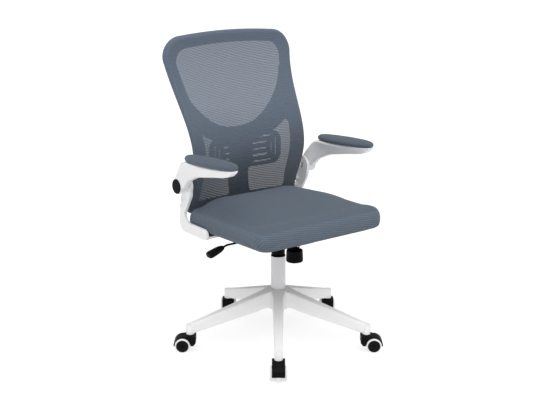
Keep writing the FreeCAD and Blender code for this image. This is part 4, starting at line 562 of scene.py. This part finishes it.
def seat_rings():
    """Outlines from the underside over the bulging sides and the rolled edge up the dome."""
    tucks = SEAT_FRONT_TUCK, SEAT_SIDE_TUCK, SEAT_REAR_TUCK
    rings = [seat_ring(SEAT_EDGE_H * height, *[tuck * inset + SEAT_SWELL for tuck in tucks])
             for inset, height in SEAT_BULGE]
    rings += [seat_ring(SEAT_EDGE_H * height, *[SEAT_EDGE_IN * inset + SEAT_SWELL] * 3)
              for inset, height in SEAT_EDGE]
    edge = SEAT_EDGE_IN + SEAT_SWELL
    for share in SEAT_DOME:
        height = SEAT_H - (SEAT_H - SEAT_EDGE_H) * (1 - share) ** 3
        front_in = edge + (DOME_FRONT_IN - edge) * math.sqrt(share)
        side_in, rear_in = [edge + (inset - edge) * share for inset in (DOME_SIDE_IN, DOME_REAR_IN)]
        rings.append(seat_ring(height - SEAT_SWELL, front_in, side_in, rear_in, DOME_R, DOME_R))
    return rings


def seat_cushion():
    piece = stacked("seat_cover", seat_rings(), SEAT_CLOTH)
    remeshed(piece, SEAT_VOXEL)
    fill_with_foam(piece, SEAT_REST_H, SEAT_SWELL + SEAT_SWELL_SPARE)
    fitted(piece, (-SEAT_FRONT_W / 2, SEAT_FRONT, 0), (SEAT_FRONT_W / 2, SEAT_REAR, SEAT_H))
    uneven(piece, size=0.11, depth=0.0012)
    roll_seat_edge(piece)
    rake = Matrix.Translation((0, 0, SEAT_LOW)) @ Matrix.Rotation(SEAT_RAKE, 4, "X")
    piece.data.transform(rake)
    smooth_skin(piece)
    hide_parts("seat_cushion")
    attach(piece, "seat")


def roll_seat_edge(piece):
    """Raises a soft roll along the upper edge, where the top panel meets the sides."""
    outline = seat_ring(0, 0, 0, 0)
    plan = np.array([(p.x, p.y) for p in outline])
    normals = [vertex.normal.copy() for vertex in piece.data.vertices]
    for vertex, normal in zip(piece.data.vertices, normals):
        if vertex.co.z > SEAT_ROLL_FROM * SEAT_EDGE_H:
            away = np.hypot(plan[:, 0] - vertex.co.x, plan[:, 1] - vertex.co.y).min()
            off_roll = (away - SEAT_ROLL_INSET) / SEAT_ROLL_W
            vertex.co += normal * (SEAT_ROLL_H * math.exp(-(off_roll ** 2)))


# Arm pads

def pad_ring(side, inset, height):
    """Blunt oval round an arm pad, at a height over its underside."""
    ring = []
    for k in range(PAD_RING_POINTS):
        angle = 2 * math.pi * k / PAD_RING_POINTS
        c, s = math.cos(angle), math.sin(angle)
        x = (PAD_W / 2 - inset) * math.copysign(abs(c) ** (2 / PAD_POWER), c)
        y = (PAD_LEN / 2 - inset) * math.copysign(abs(s) ** (2 / PAD_POWER), s)
        ring.append(Vector((side * PAD_X + x, PAD_Y + y, PAD_LOW + height)))
    return ring


def arm_pad(name, side):
    rings = [pad_ring(side, inset + PAD_SWELL, height * (PAD_H - PAD_SWELL))
             for inset, height in PAD_SECTIONS]
    piece = stacked("arm_cover_" + name, rings, PAD_CLOTH)
    remeshed(piece, PAD_VOXEL)
    fill_with_foam(piece, PAD_LOW + PAD_REST_H, PAD_SWELL)
    middle, half = Vector((side * PAD_X, PAD_Y, PAD_LOW)), Vector((PAD_W / 2, PAD_LEN / 2, 0))
    fitted(piece, middle - half, middle + half + Vector((0, 0, PAD_H)))
    uneven(piece, size=0.05, depth=0.0005)
    pivot = Vector(joint_named(f"arm_{name}_flip")["pos_m"])
    rake = Matrix.Translation(pivot) @ Matrix.Rotation(ARM_RAKE, 4, "X") @ Matrix.Translation(-pivot)
    piece.data.transform(rake)
    smooth_skin(piece)
    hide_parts("arm_pad_" + name)
    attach(piece, "arm_" + name)


# Mesh of the back

def arc_points(start, through, end, count):
    """Points along the arc through three points, without its end."""
    ax, ay, bx, by, cx, cy = *start, *through, *end
    d = 2 * (ax * (by - cy) + bx * (cy - ay) + cx * (ay - by))
    a, b, c = ax * ax + ay * ay, bx * bx + by * by, cx * cx + cy * cy
    centre = Vector(((a * (by - cy) + b * (cy - ay) + c * (ay - by)) / d,
                     (a * (cx - bx) + b * (ax - cx) + c * (bx - ax)) / d))
    arm = start - centre
    turn = (through - centre).angle_signed(end - centre) + arm.angle_signed(through - centre)
    return [centre + Matrix.Rotation(-turn * k / count, 2) @ arm for k in range(count)]


def back_outline():
    """Front outline of the back as points (x, z), anticlockwise from the lower right."""
    slant = 1 - math.sqrt(0.5)
    shoulder = BACK_TOP - BACK_SHOULDER_DROP
    foot, corner = BACK_FOOT_R, BACK_CORNER_R
    half, wide = BACK_LOW_HALF, BACK_WIDE_HALF
    flare = Vector((half + (wide - half) * BACK_FLARE, (BACK_BEND_Z + BACK_SHOULDER_Z) / 2))
    low, low_end = Vector((half - foot, BACK_LOW)), Vector((half, BACK_LOW + foot))
    bend, side = Vector((half, BACK_BEND_Z)), Vector((wide, shoulder - corner))
    top_end = Vector((wide - corner, shoulder))
    round_foot = Vector((half - foot * slant, BACK_LOW + foot * slant))
    round_corner = Vector((wide - corner * slant, shoulder - corner * slant))
    arch = arc_points(top_end, Vector((0, BACK_TOP)), Vector((-top_end.x, shoulder)), 2 * HALF_ARCH_STEPS)
    right = arc_points(low, round_foot, low_end, FOOT_STEPS)
    right += [low_end.lerp(bend, k / SIDE_STEPS) for k in range(SIDE_STEPS)]
    right += arc_points(bend, flare, side, FLARE_STEPS)
    right += arc_points(side, round_corner, top_end, CORNER_STEPS)
    right += arch[:HALF_ARCH_STEPS + 1]
    left = [Vector((-p.x, p.y)) for p in reversed(right[:-1])]
    return right + left


# Points taken at a time, and the least squared edge, gap and divisor that count
CHUNK = 1000
LEAST_EDGE_SQUARED, LEAST_GAP, LEAST_DIVISOR = 1e-12, 1e-6, 1e-9


def nearest_on(outline, points):
    """Signed distance inside the outline, nearest outline point and inward direction, for each point."""
    start = np.array(outline)
    along = np.roll(start, -1, axis=0) - start
    length = (along ** 2).sum(axis=1)
    keep = length > LEAST_EDGE_SQUARED
    start, along, length = start[keep], along[keep], length[keep]
    inward = np.stack([-along[:, 1], along[:, 0]], axis=1) / np.sqrt(length)[:, None]
    depth, foot, normal = [], [], []
    for chunk in np.array_split(points, len(points) // CHUNK + 1):
        rel = chunk[:, None, :] - start[None]
        share = np.clip((rel * along).sum(axis=2) / length, 0, 1)
        feet = start + along * share[:, :, None]
        gap = ((chunk[:, None, :] - feet) ** 2).sum(axis=2)
        nearest = gap.argmin(axis=1)
        row = np.arange(len(chunk))
        at = feet[row, nearest]
        side = np.where((rel[row, nearest] * inward[nearest]).sum(axis=1) >= 0, 1.0, -1.0)
        size = np.sqrt(gap[row, nearest])
        away = (chunk - at) * side[:, None] / np.maximum(size, LEAST_DIVISOR)[:, None]
        depth.append(side * size)
        foot.append(at)
        normal.append(np.where((size > LEAST_GAP)[:, None], away, inward[nearest]))
    return np.concatenate(depth), np.concatenate(foot), np.concatenate(normal)


def front_of_back(heights):
    """Front face of the CAD mesh at each height, carried on past its edges."""
    node = frame["nodes"]["back_mesh"]
    tree = BVHTree.FromPolygons([v.co for v in node.data.vertices], [p.vertices for p in node.data.polygons])
    low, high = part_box("back_mesh")
    found_z, found_y = [], []
    for z in np.linspace(low.z + FEEL_LOW, high.z - FEEL_HIGH, FEEL_COUNT):
        hit = tree.ray_cast(Vector((FEEL_X, low.y - FEEL_START, z)), Vector((0, 1, 0)))[0]
        if hit is not None:
            found_z.append(z)
            found_y.append(hit.y)
    found_z, found_y = np.array(found_z), np.array(found_y)
    inner = np.interp(heights, found_z, found_y)
    near, far = FEEL_SLOPE_STEP, -1 - FEEL_SLOPE_STEP
    slope_low = (found_y[near] - found_y[0]) / (found_z[near] - found_z[0])
    slope_high = (found_y[-1] - found_y[far]) / (found_z[-1] - found_z[far])
    inner = np.where(heights < found_z[0], found_y[0] + slope_low * (heights - found_z[0]), inner)
    return np.where(heights > found_z[-1], found_y[-1] + slope_high * (heights - found_z[-1]), inner)


def wrapped(inside):
    """Inset from the outline and depth behind the front, for a distance measured along the cloth."""
    if inside >= WRAP_R:
        return inside, 0.0
    turn = (WRAP_R - inside) / WRAP_R
    if turn <= math.pi / 2:
        return WRAP_R * (1 - math.sin(turn)), WRAP_R * (1 - math.cos(turn))
    return 0.0, WRAP_R + (turn - math.pi / 2) * WRAP_R


def back_net():
    """One sheet stretched over the front of the back frame and drawn round its edges."""
    tail = WRAP_DEPTH - WRAP_R + WRAP_R * (math.pi / 2 - 1)
    reach = BACK_WIDE_HALF + tail + MESH_COLUMN
    columns = int(2 * reach / MESH_COLUMN) + 1
    z_low, z_high = BACK_LOW - tail - MESH_ROW, BACK_TOP + tail + MESH_ROW
    rows = int((z_high - z_low) / MESH_ROW) + 1
    xs, zs = np.linspace(-reach, reach, columns), np.linspace(z_low, z_high, rows)
    flat = np.array([(x, z) for z in zs for x in xs])
    inside, foot, normal = nearest_on(back_outline(), flat)
    kept = inside > -tail
    inside = np.maximum(inside, -tail)
    plane = np.zeros_like(flat)
    back = np.zeros(len(flat))
    for k, distance in enumerate(inside):
        inset, back[k] = wrapped(distance)
        plane[k] = foot[k] + normal[k] * (inset - MESH_CLEAR if inset < WRAP_R else inset)
    line = plane[:, 1] + RIB_SLANT * plane[:, 0] - RIB_BOW * plane[:, 0] ** 2
    ribs = RIB_H * (0.5 + 0.5 * np.sin(2 * math.pi * line / RIB_PITCH)) * np.clip(1 - back / WRAP_R, 0, 1)
    fronts = front_of_back(plane[:, 1]) - ribs
    points = [Vector((plane[k][0], fronts[k] + back[k], plane[k][1])) for k in range(len(flat))]
    faces = []
    for r in range(rows - 1):
        for c in range(columns - 1):
            quad = (r * columns + c, r * columns + c + 1, (r + 1) * columns + c + 1, (r + 1) * columns + c)
            if any(kept[k] for k in quad):
                faces.append(quad)
    piece = mesh_object("back_cover", points, faces, NET)
    clean_sheet(piece)
    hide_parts("back_mesh")
    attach(piece, "seat")


def clean_sheet(piece):
    """Takes out loose points and slivers along the hem."""
    work = bmesh.new()
    work.from_mesh(piece.data)
    bmesh.ops.delete(work, geom=[v for v in work.verts if not v.link_faces], context="VERTS")
    bmesh.ops.remove_doubles(work, verts=work.verts, dist=HEM_WELD)
    bmesh.ops.dissolve_degenerate(work, dist=HEM_SLIVER, edges=work.edges)
    work.to_mesh(piece.data)
    work.free()
    piece.data.shade_smooth()


# Tension spring

def tension_spring():
    """Coil of round wire between the washer and the housing."""
    low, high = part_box("tension_spring")
    middle = (low + high) / 2
    start, end = low.z + SPRING_WIRE_R, high.z - SPRING_WIRE_R
    sides, steps = SPRING_SIDES, SPRING_TURNS * SPRING_TURN_STEPS
    up = Vector((0, 0, 1))
    points, faces = [], []
    for step in range(steps + 1):
        angle = 2 * math.pi * SPRING_TURNS * step / steps
        out = Vector((math.cos(angle), math.sin(angle), 0))
        centre = Vector((middle.x, middle.y, start + (end - start) * step / steps)) + out * SPRING_R
        for side in range(sides):
            turn = 2 * math.pi * side / sides
            points.append(centre + SPRING_WIRE_R * (out * math.cos(turn) + up * math.sin(turn)))
    for step in range(steps):
        for side in range(sides):
            a, b = step * sides + side, step * sides + (side + 1) % sides
            faces.append((a, b, b + sides, a + sides))
    faces.append(tuple(reversed(range(sides))))
    faces.append(tuple(range(steps * sides, (steps + 1) * sides)))
    piece = mesh_object("coil_spring", points, faces, BLACK_ENAMEL)
    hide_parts("tension_spring")
    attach(piece, "seat")
    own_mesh(piece)


# Floor, light and camera

def studio_floor():
    signs = (-1, -1), (1, -1), (1, 1), (-1, 1)
    corners = [(x * FLOOR_HALF, y * FLOOR_HALF, 0) for x, y in signs]
    surface = Surface("studio_floor", Emission_Color=grey(1.0), Emission_Strength=FLOOR_GLOW)
    surface.colour(surface.mix(surface.noise(size=1.5), grey(0.34), grey(0.36)))
    surface.roughness(low=0.7, high=0.85, size=0.4)
    mesh_object("floor", corners, [(0, 1, 2, 3)], surface.material)


def studio_light():
    """Even white surroundings and one wide sun from above."""
    world = bpy.data.worlds.new("white_studio")
    world.use_nodes = True
    sky = world.node_tree.nodes["Background"]
    sky.inputs["Color"].default_value = (1.0, 1.0, 1.0, 1.0)
    sky.inputs["Strength"].default_value = SKY_STRENGTH
    bpy.context.scene.world = world
    light = bpy.data.lights.new("soft_key", "SUN")
    light.energy = KEY_STRENGTH
    light.angle = math.radians(KEY_SPREAD)
    lamp = bpy.data.objects.new("soft_key", light)
    lamp.rotation_mode = "QUATERNION"
    lamp.rotation_quaternion = (-Vector(KEY_FROM)).to_track_quat("-Z", "Y")
    bpy.context.collection.objects.link(lamp)
    bpy.context.scene.view_settings.view_transform = "Standard"


def photo_camera():
    """Camera at the photograph's angle, distance and lens."""
    right = Vector((math.cos(CAMERA_AZIMUTH), math.sin(CAMERA_AZIMUTH), 0))
    flat = math.cos(CAMERA_ELEVATION)
    back = Vector((math.sin(CAMERA_AZIMUTH) * flat, -math.cos(CAMERA_AZIMUTH) * flat,
                   math.sin(CAMERA_ELEVATION)))
    lens = bpy.data.cameras.new("photo_camera")
    lens.sensor_width = SENSOR_W_MM
    lens.lens = FOCAL_PX / IMAGE_W * SENSOR_W_MM
    camera = bpy.data.objects.new("photo_camera", lens)
    camera.location = Vector((0, 0, CAMERA_AIM_Z)) + right * CAMERA_AIM_SIDE + back * CAMERA_DISTANCE
    camera.rotation_mode = "QUATERNION"
    camera.rotation_quaternion = (-back).to_track_quat("-Z", "Y")
    bpy.context.collection.objects.link(camera)
    bpy.context.scene.camera = camera


dress_nodes()
seat_cushion()
arm_pad("left", 1)
arm_pad("right", -1)
back_net()
tension_spring()
studio_floor()
studio_light()
photo_camera()
